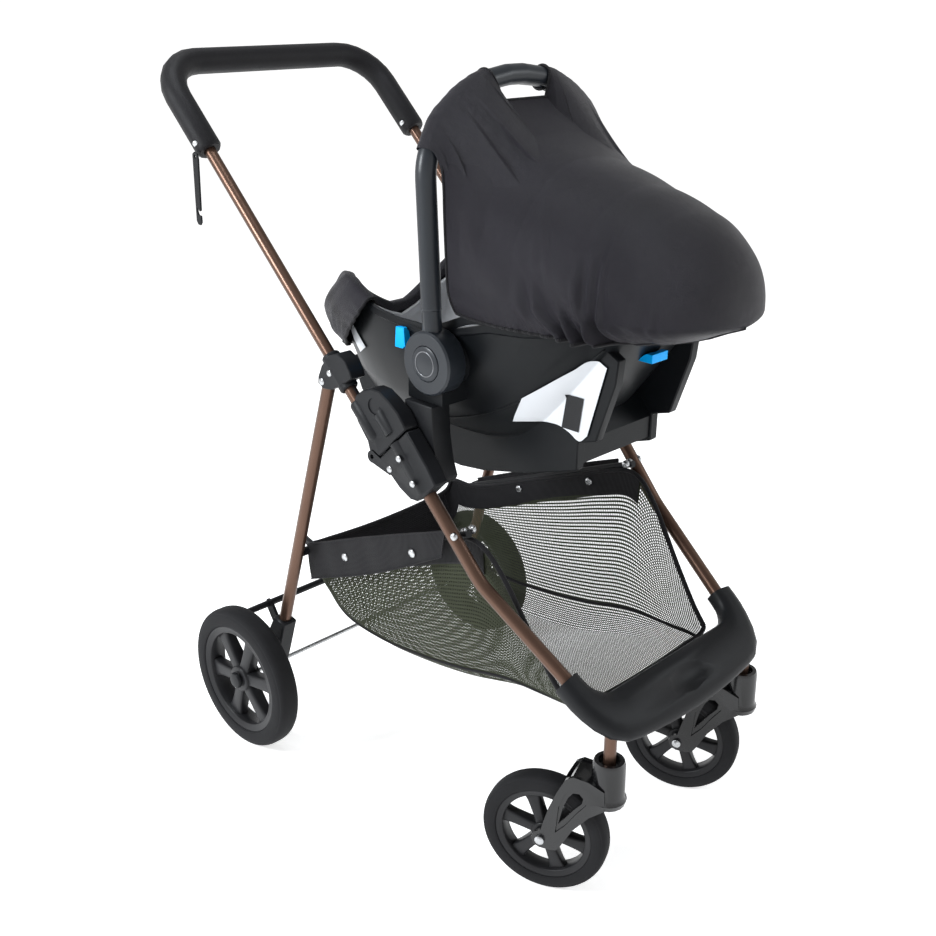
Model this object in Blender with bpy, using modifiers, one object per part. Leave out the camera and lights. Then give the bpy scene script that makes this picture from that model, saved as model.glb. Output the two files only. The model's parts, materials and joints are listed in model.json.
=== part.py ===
"""Travel system stroller: a folding four-wheel frame with an infant carrier docked on it.

Metres, +Z up, the front of the stroller towards -Y. The object stands on Z = 0.
"""
import math

import bmesh
import bpy
import numpy as np
from mathutils import Matrix, Vector

for old in list(bpy.data.objects):
    bpy.data.objects.remove(old, do_unlink=True)

# Driving dimensions
Y_SHIFT = -0.0205
REAR_WHEEL_RADIUS = 0.110
REAR_WHEEL_WIDTH = 0.036
REAR_TRACK_HALF = 0.253
FRONT_WHEEL_RADIUS = 0.084
FRONT_WHEEL_WIDTH = 0.030
CASTER_HALF = 0.149
CASTER_Y = -0.375
CASTER_TRAIL = 0.078
CASTER_TURN = math.radians(21.6)
LEG_RADIUS = 0.0092
PUSH_RADIUS = 0.0084
GRIP_RADIUS = 0.0185
PUSH_HALF = 0.192
HANDLE_CORNER = (0.439, 0.984)
FOLD_AXIS = (-0.004, 0.520)
REAR_LEG_AXIS = (0.088, 0.602)
SIDE_BAR_AXIS = (-0.145, 0.446)
SIDE_BAR_REAR = (0.166, 0.320)
REAR_AXLE = (0.235, 0.110)
BRAKE_AXIS = (0.222, 0.152)
CARRIER_PIVOT = (-0.0785, 0.6565)
CARRIER_HALF = 0.142
CLEARANCE = 0.0004

collection = bpy.data.collections.new("travel_system_stroller")
bpy.context.scene.collection.children.link(collection)
cutters = bpy.data.collections.new("cutters")
bpy.context.scene.collection.children.link(cutters)
cutters.hide_render = True


def linear(value):
    value /= 255.0
    return value / 12.92 if value <= 0.04045 else ((value + 0.055) / 1.055) ** 2.4


def material(name, rgb, roughness, metallic=0.0):
    made = bpy.data.materials.new(name)
    made.use_nodes = True
    shader = made.node_tree.nodes["Principled BSDF"]
    shader.inputs["Base Color"].default_value = (*[linear(v) for v in rgb], 1.0)
    shader.inputs["Roughness"].default_value = roughness
    shader.inputs["Metallic"].default_value = metallic
    return made


FINISHES = {
    "bronze": ((132, 100, 84), 0.32, 0.9),
    "black_plastic": ((46, 46, 48), 0.48, 0.0),
    "gloss_plastic": ((38, 38, 40), 0.2, 0.0),
    "leatherette": ((44, 43, 45), 0.55, 0.0),
    "steel": ((150, 150, 150), 0.3, 1.0),
    "tyre": ((52, 52, 53), 0.75, 0.0),
    "rim": ((44, 44, 46), 0.45, 0.0),
    "blue": ((0, 140, 230), 0.4, 0.0),
    "grey_plastic": ((110, 114, 114), 0.45, 0.0),
    "nylon": ((58, 54, 60), 0.6, 0.0),
    "liner": ((214, 216, 220), 0.8, 0.0),
    "webbing": ((30, 30, 32), 0.8, 0.0),
    "red": ((190, 30, 30), 0.4, 0.0),
}


def body_axis(name, location, parent=None, rotation=None):
    """An empty on the axis that a moving group turns about or slides along."""
    empty = bpy.data.objects.new(name, None)
    empty.empty_display_size = 0.03
    collection.objects.link(empty)
    matrix = Matrix.Translation(shifted(location))
    if rotation:
        matrix = matrix @ Matrix.Rotation(rotation, 4, "Z")
    if parent:
        empty.parent = parent
        empty.matrix_parent_inverse = world_matrices[parent.name].inverted()
    empty.matrix_basis = matrix
    world_matrices[name] = matrix
    return empty


world_matrices = {}


def shifted(point):
    return Vector((point[0], point[1] + Y_SHIFT, point[2]))


def add_object(name, rings_or_faces, finish, parent, faces=None):
    """A mesh object from world-space points and faces, with its normals outwards."""
    mesh = bpy.data.meshes.new(name)
    mesh.from_pydata([shifted(p) for p in rings_or_faces], [], faces)
    build = bmesh.new()
    build.from_mesh(mesh)
    bmesh.ops.recalc_face_normals(build, faces=build.faces)
    build.to_mesh(mesh)
    build.free()
    obj = bpy.data.objects.new(name, mesh)
    if finish is None:
        cutters.objects.link(obj)
        obj.hide_render = True
        obj.display_type = "WIRE"
        return obj
    collection.objects.link(obj)
    mesh.materials.append(material(name, *FINISHES[finish]))
    if parent:
        obj.parent = parent
        obj.matrix_parent_inverse = world_matrices[parent.name].inverted()
    return obj


def loft_faces(count, size, closed=False, caps=True):
    faces = []
    for i in range(count if closed else count - 1):
        low, high = i * size, ((i + 1) % count) * size
        for j in range(size):
            k = (j + 1) % size
            faces.append((low + j, low + k, high + k, high + j))
    if caps and not closed:
        faces.append(tuple(range(size)))
        faces.append(tuple((count - 1) * size + j for j in range(size)))
    return faces


def loft(name, rings, finish, parent=None, closed=False):
    points = [p for ring in rings for p in ring]
    faces = loft_faces(len(rings), len(rings[0]), closed)
    return add_object(name, points, finish, parent, faces)


def rounded_path(points, radii, step=12.0):
    """The polyline with each inner corner turned into an arc of the given radius."""
    path = [Vector(points[0])]
    for before, corner, after, radius in zip(points, points[1:], points[2:], radii):
        corner = Vector(corner)
        a = (Vector(before) - corner).normalized()
        b = (Vector(after) - corner).normalized()
        turn = math.pi - a.angle(b)
        if radius <= 0 or turn < 0.02:
            path.append(corner)
            continue
        reach = radius * math.tan(turn / 2)
        middle = corner + (a + b).normalized() * (radius / math.cos(turn / 2))
        start = corner + a * reach - middle
        axis = start.cross(corner + b * reach - middle).normalized()
        count = max(2, math.ceil(math.degrees(turn) / step))
        for i in range(count + 1):
            path.append(middle + Matrix.Rotation(turn * i / count, 3, axis) @ start)
    path.append(Vector(points[-1]))
    return path


def sweep_rings(path, section, up=(0, 0, 1)):
    """Rings across the path: section(i) gives (side, up) offsets for point i."""
    rings = []
    for i, point in enumerate(path):
        before = path[max(i - 1, 0)]
        after = path[min(i + 1, len(path) - 1)]
        along = (Vector(after) - Vector(before)).normalized()
        side = along.cross(Vector(up)).normalized()
        over = side.cross(along).normalized()
        rings.append([Vector(point) + side * a + over * b for a, b in section(i)])
    return rings


def circle(radius, count=12, squash=1.0):
    return [
        (radius * math.cos(a), radius * squash * math.sin(a))
        for a in np.linspace(0, 2 * math.pi, count, endpoint=False)
    ]


def tube(name, path, radius, finish, parent=None, count=12, up=(0, 0, 1)):
    ring = circle(radius, count)
    return loft(name, sweep_rings(path, lambda i: ring, up), finish, parent)


def plate(name, outline, x0, x1, finish, parent=None, bevel=0.0, segments=2):
    """A slab between two X planes from an outline in (y, z)."""
    rings = [[(x, y, z) for y, z in outline] for x in (x0, x1)]
    obj = loft(name, rings, finish, parent)
    if bevel:
        add_bevel(obj, bevel, segments)
    return obj


def add_bevel(obj, width, segments=2, angle=35.0):
    bevel = obj.modifiers.new("edges", "BEVEL")
    bevel.width = width
    bevel.segments = segments
    bevel.limit_method = "ANGLE"
    bevel.angle_limit = math.radians(angle)


def boolean(obj, other, operation="DIFFERENCE"):
    step = obj.modifiers.new(operation.lower(), "BOOLEAN")
    step.operation = operation
    step.solver = "EXACT"
    step.object = other


def block(name, low, high, finish, parent=None, bevel=0.0, segments=2):
    outline = [(low[1], low[2]), (high[1], low[2]), (high[1], high[2]), (low[1], high[2])]
    return plate(name, outline, low[0], high[0], finish, parent, bevel, segments)


def rod(name, start, end, radius, finish, parent=None, count=20):
    along = Vector(end) - Vector(start)
    up = (0, 0, 1) if abs(along.normalized().z) < 0.9 else (0, 1, 0)
    return tube(name, [Vector(start), Vector(end)], radius, finish, parent, count, up)


def revolve(name, profile, centre, axis, finish, parent=None, count=40):
    """A closed ring or disc: profile holds (distance along the axis, radius)."""
    axis = Vector(axis).normalized()
    side = axis.cross(Vector((0, 0, 1))).normalized()
    over = axis.cross(side)
    rings = []
    for a in np.linspace(0, 2 * math.pi, count, endpoint=False):
        out = side * math.cos(a) + over * math.sin(a)
        rings.append([Vector(centre) + axis * d + out * r for d, r in profile])
    return loft(name, rings, finish, parent, closed=True)


def turned(name, profile, centre, axis, finish, parent=None, count=32):
    """A solid of revolution with flat ends: profile holds (distance along, radius)."""
    axis = Vector(axis).normalized()
    side = axis.orthogonal().normalized()
    over = axis.cross(side)
    rings = []
    for d, r in profile:
        rings.append([
            Vector(centre) + axis * d + (side * math.cos(a) + over * math.sin(a)) * r
            for a in np.linspace(0, 2 * math.pi, count, endpoint=False)
        ])
    return loft(name, rings, finish, parent)


def side_name(sign):
    return "right" if sign < 0 else "left"


# Bodies: one empty on each joint axis
front_frame = body_axis("front_frame", (0, -0.3, 0.25))
push_handle = body_axis("push_handle", (0, *FOLD_AXIS), front_frame)
rear_frame = body_axis("rear_frame", (0, *REAR_LEG_AXIS), push_handle)
side_bars = body_axis("side_bars", (0, *SIDE_BAR_AXIS), front_frame)
brake = body_axis("brake", (0, *BRAKE_AXIS), rear_frame)
carrier = body_axis("carrier", (0, CARRIER_PIVOT[0], 0.603), front_frame)
carry_handle_body = body_axis("carry_handle_body", (0, *CARRIER_PIVOT), carrier)
strap_body = body_axis("fold_strap_body", (-0.213, 0.331, 0.868), push_handle)

# Front tube: one bent tube, both legs and the cross length under the footrest
LEG_TOP = (0.191, -0.052, 0.545)
LEG_BEND = (0.1835, -0.186, 0.396)
LEG_CORNER = (0.156, -0.356, 0.272)


def front_path():
    near = [(-x, y, z) for x, y, z in (LEG_TOP, LEG_BEND, LEG_CORNER)]
    far = [LEG_CORNER, LEG_BEND, LEG_TOP]
    return rounded_path(near + far, [0.10, 0.045, 0.045, 0.10], 15.0)


FRONT_PATH = front_path()
PLANE_UP = Vector((0, -0.577, 0.817))
tube("front_tube", FRONT_PATH, LEG_RADIUS, "bronze", front_frame, 12, PLANE_UP)
fat_front = tube("cut_front_tube", FRONT_PATH, LEG_RADIUS + CLEARANCE, None, None, 12, PLANE_UP)


def footrest_section(point):
    """Half widths of the footrest across the tube, inwards and outwards, and its height."""
    across = abs(point.x)
    toward = max(0.0, min(1.0, (0.176 - across) / 0.05))
    ease = toward * toward * (3 - 2 * toward)
    centre = 1.0 - min(1.0, across / 0.15) ** 2
    inner = 0.0145 - 0.001 * ease
    outer = 0.0150 + 0.034 * ease + 0.012 * centre
    return inner, outer, 0.0150 - 0.0005 * ease


def footrest():
    path = [p for p in FRONT_PATH if p.z < 0.300]
    top = Vector(LEG_CORNER)
    leg = (Vector(LEG_BEND) - top).normalized()
    start = top + leg * 0.052
    near = [Vector((-start.x, start.y, start.z))]
    far = [start]
    middle = [Vector((x, LEG_CORNER[1], LEG_CORNER[2])) for x in np.linspace(-0.09, 0.09, 7)]
    left = [p for p in path if p.x < -0.10 and p.y < start.y - 0.006]
    right = [p for p in path if p.x > 0.10 and p.y < start.y - 0.006]
    path = near + left + middle + right + far
    rings = []
    for i, point in enumerate(path):
        before, after = path[max(i - 1, 0)], path[min(i + 1, len(path) - 1)]
        along = (after - before).normalized()
        out = along.cross(PLANE_UP).normalized()
        inner, outer, half = footrest_section(point)
        ring = []
        for a in np.linspace(0, 2 * math.pi, 14, endpoint=False):
            c, s = math.cos(a), math.sin(a)
            across = math.copysign(abs(c) ** 0.7, c)
            over = math.copysign(abs(s) ** 0.7, s)
            width = (inner + outer) / 2
            place = (outer - inner) / 2 + across * width
            thin = 1.0 - 0.38 * max(0.0, place / 0.055) ** 2
            ring.append(point + out * place + PLANE_UP * (over * half * thin))
        rings.append(ring)
    return rings


rest = loft("footrest", footrest(), "black_plastic", front_frame)
boolean(rest, fat_front)
dish = turned(
    "cut_dish",
    [
        (-0.075, 0.002), (-0.06, 0.016), (-0.03, 0.027), (0, 0.031), (0.03, 0.027), (0.06, 0.016),
        (0.075, 0.002),
    ],
    (0.0, -0.3985, 0.2860), (1, 0, 0), None, None, 20,
)
boolean(rest, dish)

# Casters: a steel stem, a barrel with one fork, a wheel turning on the fork's axle
bodies = {}
for sign in (-1, 1):
    tag = side_name(sign)
    axis = (sign * CASTER_HALF, CASTER_Y)
    stem_path = [Vector((*axis, 0.168)), Vector((*axis, 0.2545))]
    tube(f"caster_stem_{tag}", stem_path, 0.0080, "bronze", front_frame, 16, (0, 1, 0))
    hole_path = [Vector((*axis, 0.15)), Vector((*axis, 0.2549))]
    hole = tube(f"cut_stem_{tag}", hole_path, 0.0084, None, None, 16, (0, 1, 0))
    boolean(rest, hole)
    swivel = body_axis(f"caster_{tag}", (*axis, 0.19), front_frame, CASTER_TURN)
    trail = Vector((-math.sin(CASTER_TURN), math.cos(CASTER_TURN), 0))
    across = Vector((math.cos(CASTER_TURN), math.sin(CASTER_TURN), 0))
    hub = Vector((*axis, FRONT_WHEEL_RADIUS)) + trail * CASTER_TRAIL
    wheel = body_axis(f"front_wheel_{tag}", hub, swivel, CASTER_TURN)
    bodies[f"front_wheel_{tag}"] = (wheel, hub, across)

    barrel_profile = [(0.150, 0.0225), (0.157, 0.0245), (0.163, 0.0214), (0.207, 0.0205), (0.2115, 0.0190)]
    fork = turned(
        f"caster_fork_{tag}",
        barrel_profile, (*axis, 0), (0, 0, 1), "gloss_plastic", swivel, 18,
    )
    cup = turned(
        f"cut_cup_{tag}", [(0.205, 0.0125), (0.215, 0.0150)], (*axis, 0), (0, 0, 1), None, None, 18,
    )
    bore = turned(
        f"cut_bore_{tag}", [(0.1635, 0.0088), (0.207, 0.0088)], (*axis, 0), (0, 0, 1), None, None, 16,
    )
    outline = [
        (-0.004, 0.151), (0.016, 0.135), (0.036, 0.110), (0.050, 0.083), (0.056, 0.0735),
        (0.064, 0.0715), (0.078, 0.0715), (0.0865, 0.0745), (0.0905, 0.084), (0.0865, 0.0935),
        (0.078, 0.0975), (0.0745, 0.112), (0.068, 0.136), (0.058, 0.162), (0.048, 0.183),
        (0.038, 0.1895), (0.018, 0.187), (-0.002, 0.178),
    ]
    drop = [
        (0.0555, 0.113), (0.050, 0.140), (0.044, 0.156), (0.038, 0.1645), (0.030, 0.1655),
        (0.0245, 0.160), (0.026, 0.152), (0.036, 0.140), (0.047, 0.124),
    ]
    pocket = [
        (0.0585, 0.100), (0.0555, 0.140), (0.047, 0.163), (0.039, 0.1715), (0.028, 0.1725),
        (0.0185, 0.163), (0.020, 0.152), (0.032, 0.136), (0.046, 0.114),
    ]

    def cheek(name, shape, near_off, far_off, finish=None, spot=axis):
        rings = []
        for off in (near_off, far_off):
            rings.append([Vector((*spot, z)) + trail * s + across * off for s, z in shape])
        return loft(name, rings, finish)

    for order, off in enumerate((-0.0235, 0.0185)):
        slab = cheek(f"cut_cheek_{tag}_{order}", outline, off, off + 0.005)
        boolean(fork, slab, "UNION")
    # The web joins the two cheeks to the barrel, clear of the wheel
    web = [
        (-0.004, 0.1535), (0.004, 0.1665), (0.013, 0.1755), (0.024, 0.1795), (0.045, 0.1800),
        (0.040, 0.1875), (0.018, 0.1855), (-0.002, 0.177),
    ]
    boolean(fork, cheek(f"cut_web_{tag}", web, -0.0215, 0.0215), "UNION")
    for order, off in enumerate((-0.0235, 0.0185)):
        near_off, far_off = (off - 0.002, off + 0.0022) if order == 0 else (off + 0.0028, off + 0.007)
        boolean(fork, cheek(f"cut_pocket_{tag}_{order}", pocket, near_off, far_off))
    boolean(fork, cheek(f"cut_drop_{tag}", drop, -0.03, 0.03))
    boolean(fork, cup)
    boolean(fork, bore)
    axle_hole = turned(
        f"cut_axle_{tag}", [(-0.035, 0.0034), (0.035, 0.0034)], hub, across, None, None, 12,
    )
    boolean(fork, axle_hole)
    bolt_profile = [
        (-0.0285, 0.0042), (-0.0270, 0.0062), (-0.0239, 0.0062), (-0.0238, 0.0030),
        (0.0238, 0.0030), (0.0239, 0.0062), (0.0270, 0.0062), (0.0285, 0.0042),
    ]
    turned(f"front_axle_{tag}", bolt_profile, hub, across, "steel", swivel, 12)


def wheel_nodes(prefix, tag, centre, axis, radius, width, parent, spokes, bore):
    """A rim with broad spokes and a tyre round it."""
    axis = Vector(axis)
    half = width / 2
    seat = radius * 0.765
    tyre_profile = [
        (-half * 0.80, seat), (-half, seat + 0.30 * (radius - seat)),
        (-half * 0.90, seat + 0.76 * (radius - seat)), (-half * 0.42, radius),
        (half * 0.42, radius), (half * 0.90, seat + 0.76 * (radius - seat)),
        (half, seat + 0.30 * (radius - seat)), (half * 0.80, seat),
    ]
    revolve(f"{prefix}_tyre_{tag}", tyre_profile, centre, axis, "tyre", parent, 24)
    rim_half = half * 0.78
    inner = radius * 0.665
    profile = [
        (-rim_half, inner), (-rim_half, seat - 0.0003), (rim_half, seat - 0.0003),
        (rim_half, inner), (0.25 * rim_half, inner - 0.0015), (-0.25 * rim_half, inner - 0.0015),
    ]
    rim = revolve(f"{prefix}_rim_{tag}", profile, centre, axis, "rim", parent, 24)
    side = axis.cross(Vector((0, 0, 1))).normalized()
    hub_radius = radius * 0.185
    hub = turned(
        f"cut_hub_{prefix}_{tag}",
        [(-half * 0.92, hub_radius * 0.86), (-half * 0.80, hub_radius), (half * 0.80, hub_radius),
         (half * 0.92, hub_radius * 0.86)],
        centre, axis, None, None, 14,
    )
    boolean(rim, hub, "UNION")
    for k in range(spokes):
        angle = 2 * math.pi * k / spokes + 0.35
        out = side * math.cos(angle) + Vector((0, 0, 1)) * math.sin(angle)
        wide = axis.cross(out).normalized()
        rings = []
        for r, w, depth in (
            (hub_radius * 0.6, radius * 0.080, half * 0.62),
            (radius * 0.70, radius * 0.110, half * 0.46),
        ):
            corners = (
                (-w, -depth), (0, -depth - 0.0022), (w, -depth),
                (w, depth), (0, depth + 0.0022), (-w, depth),
            )
            rings.append([Vector(centre) + out * r + wide * a + axis * b for a, b in corners])
        boolean(rim, loft(f"cut_spoke_{prefix}_{tag}_{k}", rings, None), "UNION")
    drill = turned(
        f"cut_bore_{prefix}_{tag}", [(-0.05, bore), (0.05, bore)], centre, axis, None, None, 12,
    )
    boolean(rim, drill)
    return rim


for sign in (-1, 1):
    tag = side_name(sign)
    wheel, hub, across = bodies[f"front_wheel_{tag}"]
    wheel_nodes("front", tag, hub, across, FRONT_WHEEL_RADIUS, FRONT_WHEEL_WIDTH, wheel, 6, 0.0036)
    centre = Vector((sign * REAR_TRACK_HALF, *REAR_AXLE))
    wheel = body_axis(f"rear_wheel_{tag}", centre, rear_frame)
    wheel_nodes("rear", tag, centre, (1, 0, 0), REAR_WHEEL_RADIUS, REAR_WHEEL_WIDTH, wheel, 6, 0.0040)
    cap_profile = [
        (0.0170, 0.0125), (0.0200, 0.0125), (0.0225, 0.0110), (0.0235, 0.0060), (0.0235, 0.0004),
    ]
    turned(f"rear_hub_cap_{tag}", cap_profile, centre, (sign, 0, 0), "black_plastic", wheel, 20)


# Folding hinge: the lower casing on the front tube, the upper one on the push tube
LOWER_CASING = [
    (-0.0195, 0.5228), (-0.037, 0.506), (-0.056, 0.491), (-0.075, 0.482), (-0.088, 0.4825),
    (-0.100, 0.491), (-0.1215, 0.5135), (-0.106, 0.535), (-0.086, 0.555), (-0.0695, 0.5718),
]
UPPER_CASING = [
    (-0.0180, 0.5240), (-0.0680, 0.5732), (-0.064, 0.580), (-0.054, 0.592), (-0.038, 0.603),
    (-0.020, 0.612), (-0.005, 0.613), (0.012, 0.607), (0.027, 0.596), (0.029, 0.582),
    (0.024, 0.562), (0.007, 0.542), (-0.006, 0.5295),
]
PUSH_LOW = Vector((PUSH_HALF, -0.004, 0.5510))
PUSH_TOP = Vector((PUSH_HALF, *HANDLE_CORNER))
PUSH_ALONG = (PUSH_TOP - PUSH_LOW).normalized()
LEG_ALONG = (Vector(LEG_TOP) - Vector(LEG_BEND)).normalized()


def mirrored(points, sign):
    return [Vector((p[0] * sign, p[1], p[2])) for p in points]


push_points = [PUSH_LOW, PUSH_TOP]
push_path = rounded_path(mirrored(push_points, -1) + mirrored(reversed(push_points), 1), [0.062] * 2, 15.0)
PUSH_UP = Vector((0, -0.70, 0.714))
tube("push_tube", push_path, PUSH_RADIUS, "bronze", push_handle, 12, PUSH_UP)

for sign in (-1, 1):
    tag = side_name(sign)
    outer, inner = sign * 0.2000, sign * 0.1765

    lower = plate(f"hinge_lower_{tag}", LOWER_CASING, outer, inner, "black_plastic", front_frame, 0.0016, 1)
    centre = Vector((sign * LEG_TOP[0], LEG_TOP[1], LEG_TOP[2]))
    along = Vector((sign * LEG_ALONG.x, LEG_ALONG.y, LEG_ALONG.z))
    start = centre - along * 0.069
    ridge = turned(
        f"cut_lower_ridge_{tag}", [(0, 0.0112), (0.004, 0.0128), (0.0765, 0.0128)], start, along,
        None, None, 20,
    )
    boolean(lower, ridge, "UNION")
    fat_leg = tube(
        f"cut_lower_leg_{tag}", [start - along * 0.02, centre + along * 0.0006],
        LEG_RADIUS + CLEARANCE, None, None, 16,
    )
    boolean(lower, fat_leg)
    knuckle_y, knuckle_z = FOLD_AXIS
    gap = turned(
        f"cut_lower_knuckle_{tag}", [(0.1795, 0.0098), (0.1970, 0.0098)],
        (0, knuckle_y, knuckle_z), (sign, 0, 0), None, None, 20,
    )
    for order, (a, b) in enumerate(((0.1765, 0.1790), (0.1975, 0.2000))):
        lug = turned(
            f"cut_lug_{tag}_{order}", [(a, 0.0085), (b, 0.0085)],
            (0, knuckle_y, knuckle_z), (sign, 0, 0), None, None, 20,
        )
        bridge = plate(
            f"cut_bridge_{tag}_{order}",
            [(-0.004, 0.5120), (-0.038, 0.504), (-0.040, 0.520), (-0.0195, 0.5225), (-0.0085, 0.5270)],
            sign * a, sign * b, None,
        )
        boolean(lower, lug, "UNION")
        boolean(lower, bridge, "UNION")
    boolean(lower, gap)
    pin = turned(
        f"cut_pin_{tag}", [(0.170, 0.0032), (0.206, 0.0032)],
        (0, knuckle_y, knuckle_z), (sign, 0, 0), None, None, 16,
    )
    boolean(lower, pin)

    upper = plate(f"hinge_upper_{tag}", UPPER_CASING, outer, inner, "black_plastic", push_handle, 0.0016, 1)
    push_low = Vector((sign * PUSH_LOW.x, PUSH_LOW.y, PUSH_LOW.z))
    sleeve = turned(
        f"cut_upper_sleeve_{tag}", [(-0.012, 0.0070), (-0.004, 0.0118), (0.046, 0.0118), (0.049, 0.0104)],
        push_low, PUSH_ALONG, None, None, 20,
    )
    boolean(upper, sleeve, "UNION")
    crest_start = Vector((sign * 0.1915, -0.0385, 0.5612))
    crest = turned(
        f"cut_crest_{tag}", [(-0.0005, 0.0124), (0.030, 0.0124), (0.042, 0.0085), (0.046, 0.0035)],
        crest_start, along, None, None, 20,
    )
    boolean(upper, crest, "UNION")
    above = plate(
        f"cut_above_{tag}", [(-0.0187, 0.5232), (-0.0690, 0.5724), (-0.110, 0.540), (-0.060, 0.490)],
        sign * 0.215, sign * 0.165, None,
    )
    boolean(upper, above)
    room = turned(
        f"cut_upper_knuckle_{tag}", [(0.1790 - 0.012, 0.0092), (0.1797, 0.0092)],
        (0, knuckle_y, knuckle_z), (sign, 0, 0), None, None, 20,
    )
    boolean(upper, room)
    room = turned(
        f"cut_upper_knuckle_out_{tag}", [(0.1968, 0.0092), (0.2120, 0.0092)],
        (0, knuckle_y, knuckle_z), (sign, 0, 0), None, None, 20,
    )
    boolean(upper, room)
    barrel = turned(
        f"cut_upper_barrel_{tag}", [(0.1799, 0.0085), (0.1966, 0.0085)],
        (0, knuckle_y, knuckle_z), (sign, 0, 0), None, None, 20,
    )
    boolean(upper, barrel, "UNION")
    boolean(upper, plate(
        f"cut_upper_bridge_{tag}",
        [(-0.0120, 0.5230), (0.0010, 0.5190), (0.0090, 0.5440), (-0.0100, 0.5400)],
        sign * 0.1799, sign * 0.1966, None,
    ), "UNION")
    boolean(upper, tube(
        f"cut_push_{tag}", [push_low - PUSH_ALONG * 0.0006, push_low + PUSH_ALONG * 0.10],
        PUSH_RADIUS + CLEARANCE, None, None, 16,
    ))
    boolean(upper, turned(
        f"cut_pin_upper_{tag}", [(0.170, 0.0032), (0.206, 0.0032)],
        (0, knuckle_y, knuckle_z), (sign, 0, 0), None, None, 16,
    ))
    recess = turned(
        f"cut_oval_{tag}", [(0.1985, 0.0105), (0.206, 0.0125)], (0, -0.0095, 0.5905), (sign, 0, 0),
        None, None, 20,
    )
    boolean(upper, recess)

    # Bracket that the rear leg turns on, clamped round the push tube
    bracket_outline = [
        (0.0735, 0.6405), (0.056, 0.6475), (0.040, 0.640), (0.031, 0.628), (0.028, 0.619),
        (0.040, 0.6115), (0.054, 0.6035), (0.070, 0.5945), (0.086, 0.5925), (0.0965, 0.598),
        (0.0955, 0.608), (0.088, 0.624),
    ]
    bracket = plate(
        f"leg_bracket_{tag}", bracket_outline, sign * 0.2045, sign * 0.1795, "black_plastic", push_handle,
        0.0012, 1,
    )
    clamp_start = push_low + PUSH_ALONG * 0.069
    boolean(bracket, turned(
        f"cut_clamp_{tag}", [(0, 0.0112), (0.002, 0.0128), (0.052, 0.0128), (0.054, 0.0112)],
        clamp_start, PUSH_ALONG, None, None, 20,
    ), "UNION")
    boolean(bracket, tube(
        f"cut_clamp_bore_{tag}", [clamp_start - PUSH_ALONG * 0.02, clamp_start + PUSH_ALONG * 0.08],
        PUSH_RADIUS + CLEARANCE, None, None, 16,
    ))
    boolean(bracket, plate(
        f"cut_slot_{tag}", [(0.0735, 0.57), (0.14, 0.57), (0.14, 0.6175), (0.080, 0.6175), (0.0735, 0.610)],
        sign * 0.2018, sign * 0.1822, None,
    ))

    # Rear leg, its axle housing and the brake
    leg_top = Vector((sign * 0.192, 0.0845, 0.6060))
    leg_low = Vector((sign * 0.2035, 0.2065, 0.1720))
    tube(f"rear_leg_{tag}", [leg_top, leg_low], 0.0090, "bronze", rear_frame, 16)
    housing_outline = [
        (0.1840, 0.2020), (0.2080, 0.2090), (0.2190, 0.1880), (0.2340, 0.1600), (0.2480, 0.1240),
        (0.2485, 0.1040), (0.2400, 0.0960), (0.2270, 0.0965), (0.2180, 0.1060), (0.2040, 0.1400),
    ]
    housing = plate(
        f"axle_housing_{tag}", housing_outline, sign * 0.2160, sign * 0.1905, "black_plastic", rear_frame,
        0.0020, 1,
    )
    down = (leg_low - leg_top).normalized()
    boolean(housing, tube(
        f"cut_housing_leg_{tag}", [leg_low + down * 0.0006, leg_low - down * 0.08], 0.0094, None, None, 16,
    ))
    boolean(housing, turned(
        f"cut_housing_axle_{tag}", [(0.16, 0.0037), (0.26, 0.0037)], (0, *REAR_AXLE), (sign, 0, 0),
        None, None, 16,
    ))
    boolean(housing, turned(
        f"cut_brake_pivot_{tag}", [(0.16, 0.0030), (0.26, 0.0030)], (0, *BRAKE_AXIS), (sign, 0, 0),
        None, None, 12,
    ))

rear_reach = REAR_TRACK_HALF + 0.0164
rod("rear_axle", (-rear_reach, *REAR_AXLE), (rear_reach, *REAR_AXLE), 0.0033, "steel", rear_frame, 16)

# Brake bar: a bent rod between the rear wheels with a foot pad in the middle
BRAKE_BAR = (0.2560, 0.2020)
brake_bar = rod("brake_bar", (-0.2300, *BRAKE_BAR), (0.2300, *BRAKE_BAR), 0.0050, "black_plastic", brake, 12)
for sign in (-1, 1):
    tag = side_name(sign)
    arm = plate(
        f"cut_brake_arm_{tag}",
        [(0.2150, 0.1530), (0.2190, 0.1450), (0.2275, 0.1450), (0.2300, 0.1510), (0.2630, 0.1990),
         (0.2600, 0.2080), (0.2510, 0.2080)],
        sign * 0.1900, sign * 0.1850, None,
    )
    boolean(brake_bar, arm, "UNION")
    boolean(brake_bar, turned(
        f"cut_arm_pivot_{tag}", [(0.17, 0.0030), (0.21, 0.0030)], (0, *BRAKE_AXIS), (sign, 0, 0),
        None, None, 12,
    ))
pedal = plate(
    "cut_pedal",
    [(0.2490, 0.1960), (0.2620, 0.1930), (0.2900, 0.2020), (0.3010, 0.2110), (0.2990, 0.2150),
     (0.2830, 0.2120), (0.2580, 0.2100)],
    -0.045, 0.045, None,
)
boolean(brake_bar, pedal, "UNION")

# Side bars between the front and rear legs, under the edge of the basket
for sign in (-1, 1):
    tag = side_name(sign)
    front = Vector((sign * 0.1706, SIDE_BAR_AXIS[0], SIDE_BAR_AXIS[1]))
    rear = Vector((sign * 0.1706, SIDE_BAR_REAR[0], SIDE_BAR_REAR[1]))
    along = (rear - front).normalized()
    bar = tube(
        f"side_bar_{tag}", [front - along * 0.008, rear + along * 0.008], 0.0050, "black_plastic", side_bars,
        12,
    )
    boolean(bar, turned(
        f"cut_spacer_{tag}", [(0.1706, 0.0062), (0.1898, 0.0062)], (0, *SIDE_BAR_REAR), (sign, 0, 0),
        None, None, 16,
    ), "UNION")

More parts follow.
